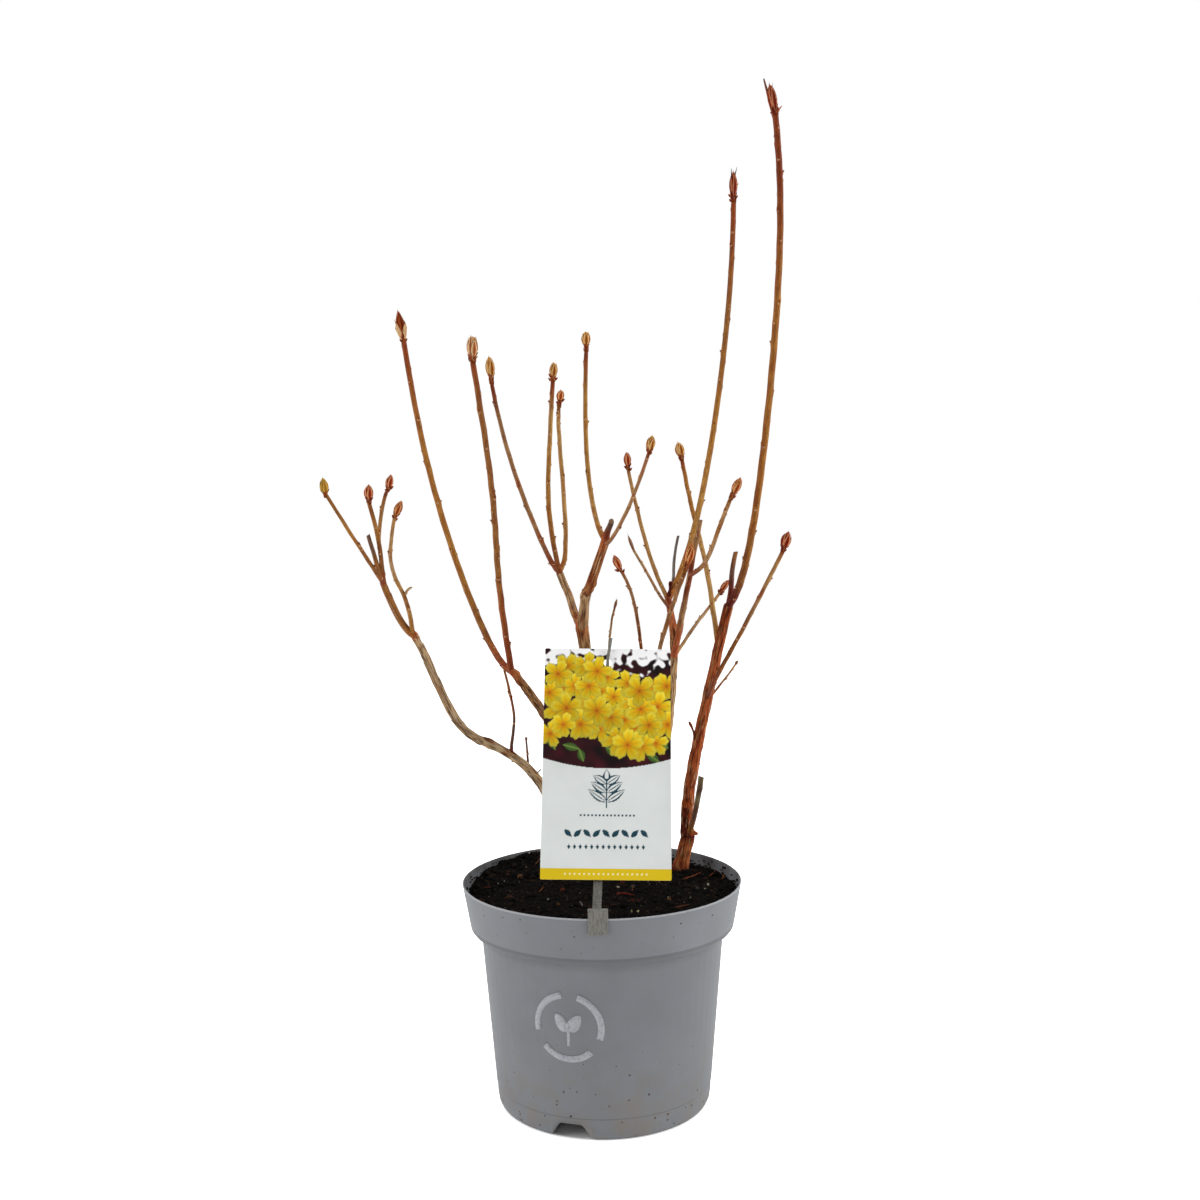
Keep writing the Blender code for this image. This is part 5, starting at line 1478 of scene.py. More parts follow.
def scattered_crumbs(settings):
    """Crumbs of peat all over the soil, with some on the wall above it."""
    crumbs = []
    chance = random.Random("crumbs")
    dark = [linear(c) for c in ("#0B0908", "#0B0908", "#100D0B", "#15110E", "#1D1611", "#2A1E17")]
    rare = [linear(c) for c in ("#4A2E1C", "#5A2A1C", "#6A4A2E", "#3E3A34")]
    feet = [(x * MM, y * MM) for x, y in FEET.values()]
    for k in range(settings.crumb_count):
        turn = chance.uniform(0, math.tau)
        size = settings.crumb_size * (0.16 + 0.84 * chance.random() ** 3)
        reach = (collar_radius(SOIL_SEAT) - POT_WALL - 0.6 * size) * math.sqrt(chance.random())
        x, y = reach * math.cos(turn), reach * math.sin(turn)
        if any(math.hypot(x - a, y - b) < b_r for (a, b), b_r in zip(feet, (9.5 * MM, 6 * MM))):
            continue
        height = soil_height(x, y)
        room = collar_radius(height) - POT_WALL - 0.6 * size
        if reach > room:
            x, y = x * room / reach, y * room / reach
        heap = 0.8 * MM * (noise.noise(Vector((x, y, 0)) / (9 * MM)) + 0.4)
        place = Matrix.Translation((x, y, height + heap + size * chance.uniform(-0.1, 0.25)))
        crumbs.append((chance, place, size / 2, chance.choice(rare if k % 29 == 0 else dark)))
    for k in range(settings.crumb_count // 30):
        turn = math.radians(chance.choice((165, 130, 100, 40, 10)) + chance.uniform(-25, 25))
        size = chance.uniform(0.7, 2.2) * MM
        rise = 7 * MM * chance.random() ** 2
        height = soil_height(80 * MM * math.cos(turn), 80 * MM * math.sin(turn)) + rise
        height = min(height, POT_HEIGHT - 2.5 * MM)
        radius = collar_radius(height) - POT_WALL - 0.35 * size
        place = Matrix.Translation((radius * math.cos(turn), radius * math.sin(turn), height))
        crumbs.append((chance, place, size / 2, chance.choice(dark[2:])))
    bm = new_growth()
    gather(bm, crumbs, add_crumb)
    return bm


def add_crumb(bm, chance, place, radius, colour):
    """One lumpy crumb."""
    tint = bm.verts.layers.float_color["tint"]
    spun = Matrix.Rotation(chance.uniform(0, math.tau), 4, Vector((1, chance.random(), chance.random())))
    size = Matrix.Diagonal((radius, radius * chance.uniform(0.6, 1), radius * chance.uniform(0.5, 1), 1))
    ball = bmesh.ops.create_icosphere(bm, subdivisions=1, radius=1, matrix=place @ spun @ size)
    light = chance.uniform(0.5, 1.1)
    middle = place.translation
    for vert in ball["verts"]:
        vert.co = middle + (vert.co - middle) * chance.uniform(0.75, 1.15)
        vert[tint] = (*[min(1, c * light) for c in colour[:3]], 1)


def loose_bits():
    """Bark slivers, rootlets and pale grains that lie on the crumbs."""
    bm = new_growth()
    chance = random.Random("bits")
    slivers = list(SLIVERS)
    for _ in range(70):
        x, y = polar_spot(chance, 84)
        turn, length = chance.uniform(0, math.tau), chance.uniform(3, 9)
        end = (x + length * math.cos(turn), y + length * math.sin(turn))
        if math.hypot(*end) < 86:
            colour = chance.choice(("#3A2417", "#4A2C1A", "#2A1C14", "#5A341E", "#57261A"))
            slivers.append(((x, y), end, chance.uniform(0.5, 1.3), colour))
    blades = []
    for (x0, y0), (x1, y1), width, colour in slivers:
        start, end = [
            Vector((x * MM, y * MM, soil_height(x * MM, y * MM) + 1.5 * MM))
            for x, y in ((x0, y0), (x1, y1))
        ]
        end.z += chance.uniform(0, 1.6) * MM
        direction = (end - start).normalized()
        blades.append((start, direction, (end - start).length, width * MM, linear(colour), False))
    gather(bm, blades, make_blade)
    grains = list(PALE_GRAINS)
    for _ in range(60):
        x, y = polar_spot(chance, 84)
        grains.append((x, y, chance.uniform(0.5, 1.1), chance.choice(("#9A9484", "#7A7466", "#B8B09A"))))
    for k, (x, y, width, colour) in enumerate(grains):
        x, y = x * MM, y * MM
        place = Matrix.Translation((x, y, soil_height(x, y) + 1.6 * MM))
        grains[k] = (chance, place, width / 2 * MM, linear(colour))
    gather(bm, grains, add_crumb)
    return bm


def polar_spot(chance, reach):
    turn, out = chance.uniform(0, math.tau), reach * math.sqrt(chance.random())
    return out * math.cos(turn), out * math.sin(turn)


# Label card and its holder

Blossom = namedtuple("Blossom", "x y size turn light")
Leaf = namedtuple("Leaf", "x y length width turn")

PETAL_STOPS = ((0.0, "#C05A10"), (0.14, "#EE9410"), (0.35, "#FBBC10"), (0.7, "#FFDA1C"), (1.0, "#FFEC50"))


def printed_spray():
    """The picture's blossoms, nearest first, in two loose garlands that cross it."""
    chance = random.Random("garland")
    blooms = []
    for row in range(4):
        for k in range(9):
            share = (k + 0.5 * (row % 2)) / 8.5
            x = -37 + 74 * share
            y = 92 + 12.5 * row + 7 * math.sin(math.tau * share * 0.8 + 0.4)
            x, y = x + chance.uniform(-2.5, 2.5), y + chance.uniform(-2, 2)
            size = chance.uniform(8.2, 11.6)
            blooms.append(Blossom(x, y, size, chance.uniform(0, math.tau), chance.uniform(0.8, 1)))
    chance.shuffle(blooms)
    return blooms


def printed_leaves():
    chance = random.Random("leaves")
    leaves = []
    for k in range(12):
        x = -36 + 72 * k / 11
        y = 88 + 9 * math.sin(k * 1.7) + chance.uniform(-3, 3)
        length, width, turn = chance.uniform(9, 13), chance.uniform(2.4, 3.4), chance.uniform(0, math.pi)
        leaves.append(Leaf(x, y, length, width, turn))
    return leaves


def blend_stops(stops, at):
    for (start, first), (end, second) in zip(stops, stops[1:]):
        if at <= end:
            return blend(first, second, (at - start) / (end - start))
    return stops[-1][1]


def picture_edge(x):
    """The lower edge of the picture, in millimetres up the card."""
    return 70.5 + 6.5 * (x / 41) ** 2


def petal_colour(bloom, x, y, petals):
    """The colour of a printed blossom at a point, or None beside its petals."""
    across, up = (x - bloom.x) / bloom.size, (y - bloom.y) / bloom.size
    reach = math.hypot(across, up)
    if reach > 1.05:
        return None
    turn = math.atan2(up, across) - bloom.turn
    lobe = abs(math.cos(turn * 2.5))
    edge = 0.4 + 0.6 * lobe**0.55 + 0.04 * math.sin(turn * 17 + bloom.x)
    if reach > edge:
        return None
    colour = blend_stops(petals, reach / edge)
    shade = bloom.light * (0.62 + 0.38 * min(1, 1.6 * lobe)) * (0.8 + 0.2 * up)
    if lobe > 0.985 and 0.2 < reach < 0.85:
        shade *= 0.9
    if reach > edge - 0.07:
        shade *= 0.8
    return [c * shade for c in colour[:3]] + [1]


def picture_colour(x, y, blooms, leaves, petals):
    for bloom in blooms:
        if abs(x - bloom.x) < bloom.size and abs(y - bloom.y) < bloom.size:
            colour = petal_colour(bloom, x, y, petals)
            if colour:
                return colour
    for leaf in leaves:
        across = (x - leaf.x) * math.cos(leaf.turn) + (y - leaf.y) * math.sin(leaf.turn)
        aside = abs((y - leaf.y) * math.cos(leaf.turn) - (x - leaf.x) * math.sin(leaf.turn))
        if abs(across) < leaf.length / 2:
            half = leaf.width * math.cos(math.pi * across / leaf.length)
            if aside < half:
                green = linear("#4F6E2A") if aside > 0.3 else linear("#7A9248")
                return blend(green, linear("#26401C"), aside / half * 0.7)
    spot = Vector((x, y, 0))
    ground = blend(linear("#14070A"), linear("#401018"), 0.4 + 1.2 * noise.noise(spot / 9))
    if y > 128 + 4 * math.sin(x / 9):
        pale = noise.noise(spot / 4.2 + Vector((3, 1, 2))) * 5 + (y - 139) * 0.22
        ground = blend(ground, linear("#FFFFFF"), pale)
    return ground


def in_leaf(x, y, foot_x, foot_y, length, width, turn):
    """How far inside a drawn leaf a point lies, from 1 at its middle line to 0 at its edge."""
    dx, dy = x - foot_x, y - foot_y
    ahead = dx * math.cos(turn) + dy * math.sin(turn)
    aside = abs(dy * math.cos(turn) - dx * math.sin(turn))
    if not 0 < ahead < length:
        return -1
    half = width / 2 * math.sin(math.pi * (ahead / length) ** 0.8)
    return 1 - aside / half if half > 0 else -1


def on_ornament(x, y):
    """Whether a point of the card's lower panel lies on its drawn sprig or its borders."""
    if abs(x) < 0.5 and 45 < y < 64:
        return True
    for k, height in enumerate((49.0, 55.0, 60.5)):
        for side in (-1, 1):
            turn = math.radians(90 - side * 56)
            inside = in_leaf(x, y, 0, height, 14.5 - 2 * k, 5.4, turn)
            if 0 <= inside < 0.4 or inside > 0.88:
                return True
    inside = in_leaf(x, y, 0, 63.0, 7.0, 4.6, math.pi / 2)
    if 0 <= inside < 0.4:
        return True
    if 25 < y < 33 and abs(x) < 27:
        cell = (x + 27) % 6.0 - 3.0
        side = 1 if int((x + 27) // 6.0) % 2 else -1
        if in_leaf(cell, y, -2.2, 29 - side * 2.2, 6.4, 3.2, side * math.radians(45)) > 0:
            return True
    if abs(y - 40.5) < 0.6 and abs(x) < 17.8 and (x % 2.4) < 1.3:
        return True
    return abs((x + 25.2) % 3.6 - 1.8) / 1.1 + abs(y - 20.5) / 1.5 < 1 and abs(x) < 25


def card_colour(x, y, blooms, leaves, petals, settings):
    """The print on the card's face at a point in millimetres from the middle of its lower edge."""
    if y < 7.2:
        if math.hypot((x + 27) % 3.0 - 1.5, y - 3.6) < 0.6 and abs(x) < 27:
            return linear("#F6EFC0")
        return settings.band
    if y > picture_edge(x):
        return picture_colour(x, y, blooms, leaves, petals)
    return settings.ink if on_ornament(x, y) else settings.paper


def card_frame():
    lean = Matrix.Rotation(math.pi / 2 - CARD_LEAN, 4, "X")
    return Matrix.Translation(CARD_FOOT) @ lean @ Matrix.Rotation(CARD_ROLL, 4, "Z")


def make_card(settings):
    """The card as a fine grid with rounded corners and a punched hole, and its print as colour."""
    bm = bmesh.new()
    tint = bm.verts.layers.float_color.new("tint")
    columns = round(CARD_WIDTH / settings.print_step)
    rows = round(CARD_HEIGHT / settings.print_step)
    grid = bmesh.ops.create_grid(bm, x_segments=columns, y_segments=rows, size=1)
    for vert in grid["verts"]:
        vert.co = (vert.co.x * CARD_WIDTH / 2, (vert.co.y + 1) * CARD_HEIGHT / 2, 0)
    hole = Vector((0, HOLE_HEIGHT, 0))
    inside = [f for f in bm.faces if all((v.co - hole).length < HOLE_RADIUS for v in f.verts)]
    bmesh.ops.delete(bm, geom=inside, context="FACES")
    for vert in bm.verts:
        away = vert.co - hole
        if away.length < HOLE_RADIUS:
            vert.co = hole + away.normalized() * HOLE_RADIUS
        corner = Vector((CARD_WIDTH / 2 - CARD_CORNER, CARD_HEIGHT / 2 - CARD_CORNER))
        past = Vector((abs(vert.co.x), abs(vert.co.y - CARD_HEIGHT / 2))) - corner
        if past.x > 0 and past.y > 0 and past.length > CARD_CORNER:
            rounded = corner + past.normalized() * CARD_CORNER
            vert.co.x = math.copysign(rounded.x, vert.co.x)
            vert.co.y = CARD_HEIGHT / 2 + math.copysign(rounded.y, vert.co.y - CARD_HEIGHT / 2)
    bmesh.ops.remove_doubles(bm, verts=bm.verts, dist=0.05 * MM)
    rim = bmesh.ops.extrude_edge_only(bm, edges=[e for e in bm.edges if e.is_boundary])["geom"]
    for vert in [part for part in rim if isinstance(part, bmesh.types.BMVert)]:
        vert.co.z -= CARD_THICK
    back = [e for e in bm.edges if e.is_boundary]
    bmesh.ops.triangle_fill(bm, edges=back, use_beauty=True)
    blooms, leaves = printed_spray(), printed_leaves()
    petals = [(at, linear(colour)) for at, colour in PETAL_STOPS]
    for vert in bm.verts:
        vert.co.z += CARD_THICK / 2
        x, y = vert.co.x / MM, vert.co.y / MM
        front = vert.co.z > 0
        vert[tint] = card_colour(x, y, blooms, leaves, petals, settings) if front else settings.paper
    bmesh.ops.transform(bm, matrix=card_frame(), verts=bm.verts)
    bmesh.ops.recalc_face_normals(bm, faces=bm.faces)
    return bm


# Settings, operators and panel


class PotSettings(bpy.types.PropertyGroup):
    plastic: bpy.props.FloatVectorProperty(
        name="Plastic", description="The pot's own grey", subtype="COLOR", size=4,
        default=linear("#797C81"), min=0, max=1,
    )
    ink: bpy.props.FloatVectorProperty(
        name="Ink", description="The printed mark's colour", subtype="COLOR", size=4,
        default=linear("#A2A5AA"), min=0, max=1,
    )
    mark_size: bpy.props.FloatProperty(
        name="Mark Width", description="Width of the printed mark", default=0.043, unit="LENGTH"
    )
    mark_height: bpy.props.FloatProperty(
        name="Mark Height", description="Height of its middle", default=0.077, unit="LENGTH"
    )
    mark_heading: bpy.props.FloatProperty(
        name="Mark Heading", description="Its heading round the pot from +X", default=-1.862,
        unit="ROTATION",
    )


class SoilSettings(bpy.types.PropertyGroup):
    peat: bpy.props.FloatVectorProperty(
        name="Peat", description="The moist peat's colour", subtype="COLOR", size=4,
        default=linear("#130F0D"), min=0, max=1,
    )
    crumb_count: bpy.props.IntProperty(
        name="Crumbs", description="Crumbs of peat on the surface", default=4600, min=0
    )
    crumb_size: bpy.props.FloatProperty(
        name="Largest Crumb", description="Width of the largest crumb", default=0.0052, unit="LENGTH"
    )


class LabelSettings(bpy.types.PropertyGroup):
    paper: bpy.props.FloatVectorProperty(
        name="Ground", description="The card's pale ground", subtype="COLOR", size=4,
        default=linear("#DDE1DF"), min=0, max=1,
    )
    ink: bpy.props.FloatVectorProperty(
        name="Ink", description="Colour of the drawn sprig and borders", subtype="COLOR", size=4,
        default=linear("#1B3F4C"), min=0, max=1,
    )
    band: bpy.props.FloatVectorProperty(
        name="Band", description="Colour of the band at the card's foot", subtype="COLOR", size=4,
        default=linear("#DDBE1A"), min=0, max=1,
    )
    holder: bpy.props.FloatVectorProperty(
        name="Holder", description="The holder's own grey", subtype="COLOR", size=4,
        default=linear("#7E7D77"), min=0, max=1,
    )
    print_step: bpy.props.FloatProperty(
        name="Print Step", description="Width of one step of the print", default=0.0004, unit="LENGTH"
    )


class BarkSettings(bpy.types.PropertyGroup):
    old_tone: bpy.props.FloatVectorProperty(
        name="Old Tone", description="Laid over the old bark's own colours", subtype="COLOR", size=4,
        default=(1, 1, 1, 1), min=0, max=1,
    )
    young_tone: bpy.props.FloatVectorProperty(
        name="Young Tone", description="Laid over the young bark's own colours", subtype="COLOR", size=4,
        default=(1, 1, 1, 1), min=0, max=1,
    )
    bough_step: bpy.props.FloatProperty(
        name="Bough Step", description="Length of a ring of old bark", default=0.0007, unit="LENGTH"
    )
    shoot_step: bpy.props.FloatProperty(
        name="Shoot Step", description="Length of a ring of young bark", default=0.001, unit="LENGTH"
    )
    bough_relief: bpy.props.FloatProperty(
        name="Old Relief", description="Depth of old bark's fibres", default=0.0003, unit="LENGTH"
    )
    shoot_relief: bpy.props.FloatProperty(
        name="Young Relief", description="Depth of young bark's lines", default=0.00007, unit="LENGTH"
    )
    strip_count: bpy.props.IntProperty(
        name="Strips", description="Loose strips of bark on the boughs", default=260, min=0
    )


class BudSettings(bpy.types.PropertyGroup):
    tone: bpy.props.FloatVectorProperty(
        name="Bud Tone", description="Laid over the buds' own colours", subtype="COLOR", size=4,
        default=(1, 1, 1, 1), min=0, max=1,
    )
    scale_count: bpy.props.IntProperty(
        name="Scales", description="Scales of a large end bud", default=13, min=8
    )
    bud_size: bpy.props.FloatProperty(
        name="Side Bud", description="Length of a side bud", default=0.0019, unit="LENGTH"
    )
    scar_size: bpy.props.FloatProperty(
        name="Leaf Scar", description="Width of a leaf scar", default=0.0017, unit="LENGTH"
    )


class StageSettings(bpy.types.PropertyGroup):
    floor_size: bpy.props.FloatProperty(
        name="Floor Size", description="Width of the floor", default=6.0, unit="LENGTH"
    )
    floor_glow: bpy.props.FloatProperty(
        name="Floor Glow", description="Light that the floor gives the object", default=0.3, min=0
    )
    camera_back: bpy.props.FloatProperty(
        name="Camera Distance", description="Distance from the pot's axis", default=0.9803, unit="LENGTH"
    )
    camera_height: bpy.props.FloatProperty(
        name="Camera Height", description="Height above the floor", default=0.4226, unit="LENGTH"
    )
    camera_pitch: bpy.props.FloatProperty(
        name="Camera Pitch", description="Tilt above the horizon", default=-0.0806, unit="ROTATION"
    )
    camera_roll: bpy.props.FloatProperty(
        name="Camera Roll", description="Turn about the view", default=-0.0119, unit="ROTATION"
    )
    camera_yaw: bpy.props.FloatProperty(
        name="Camera Yaw", description="Turn to the right of straight ahead", default=0.001,
        unit="ROTATION",
    )
    camera_lens: bpy.props.FloatProperty(
        name="Focal Length", description="Focal length on a 36 mm sensor", default=43.84, unit="CAMERA"
    )


def finish_node(node, material):
    """Gives a node of the model its finish."""
    solid = frame["nodes"][node]
    solid.data.materials.clear()
    solid.data.materials.append(material)


class AZALEA_OT_pot(bpy.types.Operator):
    """Makes the pot's smooth shell and the mark printed on it"""

    bl_idname = "azalea.pot"
    bl_label = "Pot"

    def execute(self, context):
        settings = context.scene.azalea_pot
        plastic = moulded_polypropylene(settings.plastic)
        finish_node("pot", plastic)
        shell = new_piece("pot_shell", welded_copy("pot"), plastic, ["pot"])
        shade_by_angle(shell, 30)
        new_piece("pot_mark", make_mark(settings), screen_ink(settings.ink))
        return {"FINISHED"}


class AZALEA_OT_soil(bpy.types.Operator):
    """Makes the peat's surface, its crumbs and what lies on it"""

    bl_idname = "azalea.soil"
    bl_label = "Soil"

    def execute(self, context):
        peat, bits = moist_peat(context.scene.azalea_soil.peat), potting_bits()
        finish_node("soil", peat)
        new_piece("peat_surface", make_surface(), peat)
        new_piece("peat_crumbs", scattered_crumbs(context.scene.azalea_soil), bits)
        new_piece("bark_and_grit", loose_bits(), bits)
        return {"FINISHED"}


class AZALEA_OT_label(bpy.types.Operator):
    """Makes the printed card and its holder"""

    bl_idname = "azalea.label"
    bl_label = "Label"

    def execute(self, context):
        settings = context.scene.azalea_label
        sheet, plastic = printed_sheet(), holder_polypropylene(settings.holder)
        finish_node("label_card", sheet)
        finish_node("label_holder", plastic)
        card = new_piece("printed_card", make_card(settings), sheet, ["label_card"])
        shade_by_angle(card, 30)
        holder = welded_copy("label_holder")
        holder = new_piece("ribbed_holder", holder, plastic, ["label_holder"])
        shade_by_angle(holder, 30)
        return {"FINISHED"}


class AZALEA_OT_boughs(bpy.types.Operator):
    """Makes the stems' and boughs' bark, with its loose strips and dead spurs"""

    bl_idname = "azalea.boughs"
    bl_label = "Boughs"

    def execute(self, context):
        settings = context.scene.azalea_bark
        bark = weathered_bark(settings.old_tone)
        for node, limbs in BOUGHS.items():
            bm = new_growth()
            for name in limbs:
                sides = 48 if LIMBS[name].thick[0] > 7 else 36
                wrap_bark(bm, name, settings.bough_step, sides, settings.bough_relief)
            kept_inside(bm)
            finish_node(node, bark)
            new_piece(f"{node}_bark", bm, bark, [node])
        new_piece("bark_strips", make_strips(settings), bark)
        new_piece("dead_spurs", make_spurs(), bark)
        return {"FINISHED"}


class AZALEA_OT_twigs(bpy.types.Operator):
    """Makes the bark of each spray of twigs"""

    bl_idname = "azalea.twigs"
    bl_label = "Twigs"

    def execute(self, context):
        settings = context.scene.azalea_bark
        bark = young_bark(settings.young_tone)
        for node, limbs in SPRAYS.items():
            bm = new_growth()
            for name in limbs:
                sides = 20 if LIMBS[name].thick[0] > 2.6 else 14
                wrap_bark(bm, name, settings.shoot_step, sides, settings.shoot_relief)
            kept_inside(bm)
            finish_node(node, bark)
            new_piece(f"{node}_bark", bm, bark, [node])
        return {"FINISHED"}


class AZALEA_OT_buds(bpy.types.Operator):
    """Makes the end buds scale by scale, the side buds and the leaf scars"""

    bl_idname = "azalea.buds"
    bl_label = "Buds"

    def execute(self, context):
        settings = context.scene.azalea_buds
        skin = bud_scale_skin(settings.tone)
        scales, sides, scars = new_growth(), new_growth(), new_growth()
        twigs = [name for line in SPRAYS.values() for name in line]
        blades, small_buds, pads = [], [], []
        for name in twigs:
            if LIMBS[name].bud:
                small_buds += bud_foot(name, settings)
            for _, foot, out, lean in side_buds(name):
                small_buds.append((foot, lean, out, settings.bud_size))
                ahead = (lean - out * lean.dot(out)).normalized()
                pads.append((foot - ahead * 0.9 * MM, out, ahead, settings.scar_size))
            for _, foot, out, ahead in leaf_scars(name):
                pads.append((foot + out * 0.15 * MM, out, ahead, settings.scar_size * 0.75))
        for name, share, direction, length, width, colour in LOOSE_SCALES:
            foot, bud, _, _ = bud_axes(name)
            direction = Vector(direction).normalized()
            blades.append((foot + bud * share, direction, length * MM, width * MM, linear(colour)))
        gather(scales, [(name,) for name in twigs if LIMBS[name].bud], make_core, 1)
        gather(scales, [(name,) for name in twigs if LIMBS[name].bud], make_scales, 1)
        gather(scales, blades, make_blade)
        gather(sides, small_buds, make_side_bud)
        gather(scars, pads, make_scar)
        for bm, name in ((scales, "bud_scales"), (sides, "side_buds"), (scars, "leaf_scars")):
            kept_inside(bm)
            bmesh.ops.recalc_face_normals(bm, faces=bm.faces)
            new_piece(name, bm, skin)
        return {"FINISHED"}


def bud_foot(name, settings):
    """The small dark buds that stand out like horns right below an end bud: their feet, leans,
    directions and sizes."""
    buds = []
    shape = BUD_SHAPES[name]
    foot, bud, left, up = bud_axes(name)
    chance = random.Random(name + " foot")
    ahead = bud.normalized()
    turn = chance.uniform(0, math.tau)
    for k in range(0 if shape.colours == "sliver" else 3):
        out = left * math.cos(turn) + up * math.sin(turn)
        lean = (ahead + out * chance.uniform(0.9, 1.4)).normalized()
        back = bud * shape.neck - ahead * (0.4 + 1.5 * k * chance.uniform(0.6, 1.2)) * MM
        size = settings.bud_size * chance.uniform(1.2, 1.7)
        buds.append((foot + back + out * radius_at(name, 1) * 0.9, lean, out, size))
        turn += math.pi * chance.uniform(0.75, 1.05)
    return buds


def make_strips(settings):
    """Loose strips of bark that lie along the boughs and lift at one end."""
    strips = []
    chance = random.Random("strips")
    limbs = [(name, length_of(name)) for line in BOUGHS.values() for name in line]
    limbs += [(name, length_of(name)) for name in ("far_left_fork", "inner_fork", "fork_dead")]
    lengths = [length for _, length in limbs]
    for _ in range(settings.strip_count):
        name, length = chance.choices(limbs, lengths)[0]
        long, wide = chance.uniform(4, 15) * MM, chance.uniform(0.5, 1.3) * MM
        start = chance.uniform(0.05, 0.9) * length
        if start + long < 0.95 * length:
            strips.append((name, spine(name, settings.bough_step), start, long, wide, chance))
    bm = new_growth()
    gather(bm, strips, make_strip)
    bmesh.ops.recalc_face_normals(bm, faces=bm.faces)
    kept_inside(bm)
    return bm


def make_strip(bm, name, stations, start, long, wide, chance):
    """A thin strip of bark that starts at a distance from its limb's root."""
    tint = bm.verts.layers.float_color["tint"]
    grain = bm.verts.layers.float_vector["grain"]
    turn_0, drift = chance.uniform(0, math.tau), chance.uniform(-0.25, 0.25)
    lift = chance.uniform(0.1, 0.9) * MM * chance.choice((0, 0, 1))
    sunny_and_lit = chance.random()
    last = len(stations) - 1
    length = stations[last].run
    colour = blend(bark_colour(name, start / length, sunny_and_lit, 0.3), linear("#D2B490"), 0.25 + 0.3 * sunny_and_lit)
    ball = bmesh.ops.create_uvsphere(bm, u_segments=6, v_segments=10, radius=1)
    for vert in ball["verts"]:
        y = (vert.co.z + 1) / 2
        station = stations[round((start + long * y) / length * last)]
        turn = turn_0 + drift * y + vert.co.x * wide / 2 / station.radius
        out = station.left * math.cos(turn) + station.up * math.sin(turn)
        height = station.radius + (0.12 + 0.16 * vert.co.y) * MM + lift * y**4
        vert.co = station.centre + out * height
        vert[tint] = colour
        vert[grain] = Vector((turn * station.radius, 0, station.run * 0.12))


def make_spurs():
    """The short dead spurs on the boughs."""
    bm = new_growth()
    tint = bm.verts.layers.float_color["tint"]
    grain = bm.verts.layers.float_vector["grain"]
    for name, share, direction, long, width, bark in SPURS:
        direction = Vector(direction).normalized()
        foot = along(name, share) + direction * radius_at(name, share) * 0.6
        side = direction.orthogonal().normalized()
        face = direction.cross(side)
        dark, light, _ = BARK_COLOURS[bark]
        ball = bmesh.ops.create_uvsphere(bm, u_segments=10, v_segments=12, radius=1)
        for vert in ball["verts"]:
            y = (vert.co.z + 1) / 2
            girth = min(1, 1.6 * math.hypot(vert.co.x, vert.co.y))
            turn = math.atan2(vert.co.y, vert.co.x)
            knob = 1 + 0.25 * math.sin(9 * y) + (0.9 * math.exp(-8 * y))
            reach = width / 2 * MM * girth * knob * (1 - 0.25 * y)
            bend = side * (0.06 * long * MM * math.sin(3 * y))
            vert.co = foot + direction * long * MM * y + bend
            vert.co += (side * math.cos(turn) + face * math.sin(turn)) * reach
            # One side of each spur is painted lighter, the other darker: partly the bark's sunny side,
            # partly painted light and shade
            vert[tint] = blend(dark, light, 0.3 + 0.5 * math.sin(turn))
            vert[grain] = Vector((reach * math.cos(turn), reach * math.sin(turn), long * MM * y * 0.12))
    bmesh.ops.recalc_face_normals(bm, faces=bm.faces)
    return bm


def area_light(name, place, target, size, power):
    light = bpy.data.lights.new(name, "AREA")
    light.shape = "DISK"
    light.size = size
    light.energy = power
    lamp = bpy.data.objects.new(name, light)
    lamp.location = place
    lamp.rotation_euler = (Vector(target) - Vector(place)).to_track_quat("-Z", "Y").to_euler()
    bpy.context.collection.objects.link(lamp)


def studio_surroundings():
    """White walls that are bright beside the plant and dimmer in front of it and behind it."""
    world = bpy.data.worlds.new("studio")
    world.use_nodes = True
    tree = world.node_tree
    backdrop = tree.nodes["Background"]
    toward = add_node(tree, "ShaderNodeTexCoord").outputs["Generated"]
    across = add_node(tree, "ShaderNodeSeparateXYZ", [("Vector", toward)]).outputs["X"]
    aside = add_node(tree, "ShaderNodeMath", [(0, across)], operation="ABSOLUTE")
    dim = add_node(
        tree, "ShaderNodeMapRange",
        [("Value", aside.outputs["Value"]), ("From Max", 0.9), ("To Min", 0.08), ("To Max", 0.62)],
    )
    seen = add_node(tree, "ShaderNodeLightPath").outputs["Is Camera Ray"]
    strength = add_node(
        tree, "ShaderNodeMath", [(0, dim.outputs["Result"]), (1, seen)], operation="MAXIMUM"
    )
    backdrop.inputs["Color"].default_value = linear("#FFFFFF")
    tree.links.new(strength.outputs[0], backdrop.inputs["Strength"])
    return world


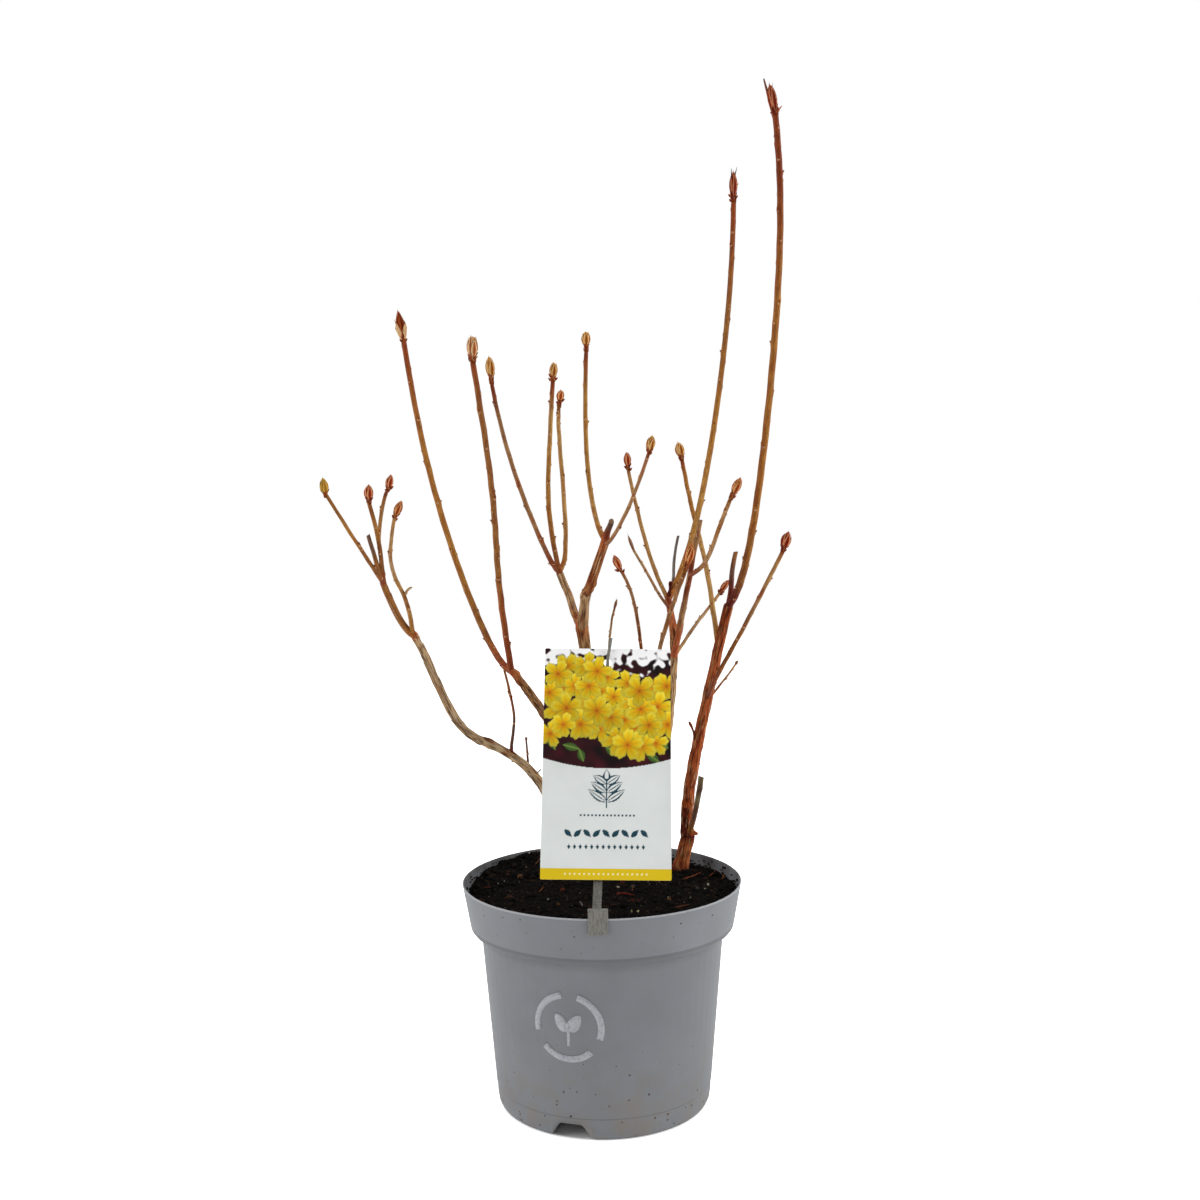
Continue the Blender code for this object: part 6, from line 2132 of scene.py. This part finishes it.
class AZALEA_OT_stage(bpy.types.Operator):
    """Makes the floor, the soft studio light and the camera"""

    bl_idname = "azalea.stage"
    bl_label = "Stage"

    def execute(self, context):
        stage = context.scene.azalea_stage
        bm = bmesh.new()
        bmesh.ops.create_grid(bm, x_segments=1, y_segments=1, size=stage.floor_size / 2)
        mesh = bpy.data.meshes.new("floor")
        bm.to_mesh(mesh)
        bm.free()
        floor = bpy.data.objects.new("floor", mesh)
        bpy.context.collection.objects.link(floor)
        material, tree, shader = new_material("pale_paper", roughness=0.9)
        shader.inputs["Base Color"].default_value = linear("#FAFAFA")
        # The camera sees the paper as white as the walls, except for the shade under the pot.
        place = add_node(tree, "ShaderNodeTexCoord").outputs["Object"]
        away = add_node(tree, "ShaderNodeVectorMath", [(0, place)], operation="LENGTH")
        shade = add_node(
            tree, "ShaderNodeMapRange",
            [("Value", away.outputs["Value"]), ("From Min", 68 * MM), ("From Max", 73 * MM)],
        )
        seen = add_node(tree, "ShaderNodeLightPath").outputs["Is Camera Ray"]
        glow = add_node(
            tree, "ShaderNodeMapRange", [("Value", seen), ("To Min", stage.floor_glow), ("To Max", 1.0)]
        )
        glow = add_node(
            tree, "ShaderNodeMath", [(0, glow.outputs["Result"]), (1, shade.outputs["Result"])],
            operation="MULTIPLY",
        )
        shader.inputs["Emission Color"].default_value = linear("#FFFFFF")
        tree.links.new(glow.outputs["Value"], shader.inputs["Emission Strength"])
        floor.data.materials.append(material)
        context.scene.world = studio_surroundings()
        # The plain view transform keeps the white paper white.
        context.scene.view_settings.view_transform = "Standard"
        area_light("left_softbox", (-1.6, -0.4, 0.9), (0, 0, 0.25), 1.2, 14)
        area_light("right_softbox", (1.6, -0.4, 0.9), (0, 0, 0.25), 1.2, 17)
        area_light("overhead_softbox", (0, 0.0, 2.2), (0, 0, 0.2), 1.4, 14)
        camera = bpy.data.cameras.new("camera")
        camera.sensor_width = 36
        camera.lens = stage.camera_lens
        viewer = bpy.data.objects.new("camera", camera)
        turn = Matrix.Rotation(math.pi / 2 + stage.camera_pitch, 4, "X")
        roll = Matrix.Rotation(stage.camera_roll, 4, "Z")
        place = Matrix.Translation((0, -stage.camera_back, stage.camera_height))
        yaw = Matrix.Rotation(-stage.camera_yaw, 4, "Z")
        viewer.matrix_world = place @ yaw @ turn @ roll
        bpy.context.collection.objects.link(viewer)
        context.scene.camera = viewer
        return {"FINISHED"}


class AZALEA_PT_panel(bpy.types.Panel):
    """Lists the steps that dress the model"""

    bl_idname = "AZALEA_PT_panel"
    bl_label = "Potted Azalea"
    bl_space_type = "VIEW_3D"
    bl_region_type = "UI"
    bl_category = "Azalea"

    def draw(self, context):
        for step in STEPS:
            self.layout.operator(step.bl_idname)


SETTINGS = {
    "azalea_pot": PotSettings,
    "azalea_soil": SoilSettings,
    "azalea_label": LabelSettings,
    "azalea_bark": BarkSettings,
    "azalea_buds": BudSettings,
    "azalea_stage": StageSettings,
}
STEPS = (
    AZALEA_OT_stage,
    AZALEA_OT_pot,
    AZALEA_OT_soil,
    AZALEA_OT_label,
    AZALEA_OT_boughs,
    AZALEA_OT_twigs,
    AZALEA_OT_buds,
)
CLASSES = (*SETTINGS.values(), *STEPS, AZALEA_PT_panel)


def register():
    for cls in CLASSES:
        bpy.utils.register_class(cls)
    for name, group in SETTINGS.items():
        setattr(bpy.types.Scene, name, bpy.props.PointerProperty(type=group))


def unregister():
    for name in SETTINGS:
        delattr(bpy.types.Scene, name)
    for cls in reversed(CLASSES):
        bpy.utils.unregister_class(cls)


def main():
    register()
    bpy.ops.azalea.stage()
    bpy.ops.azalea.pot()
    bpy.ops.azalea.soil()
    bpy.ops.azalea.label()
    bpy.ops.azalea.boughs()
    bpy.ops.azalea.twigs()
    bpy.ops.azalea.buds()


if __name__ == "__main__":
    main()
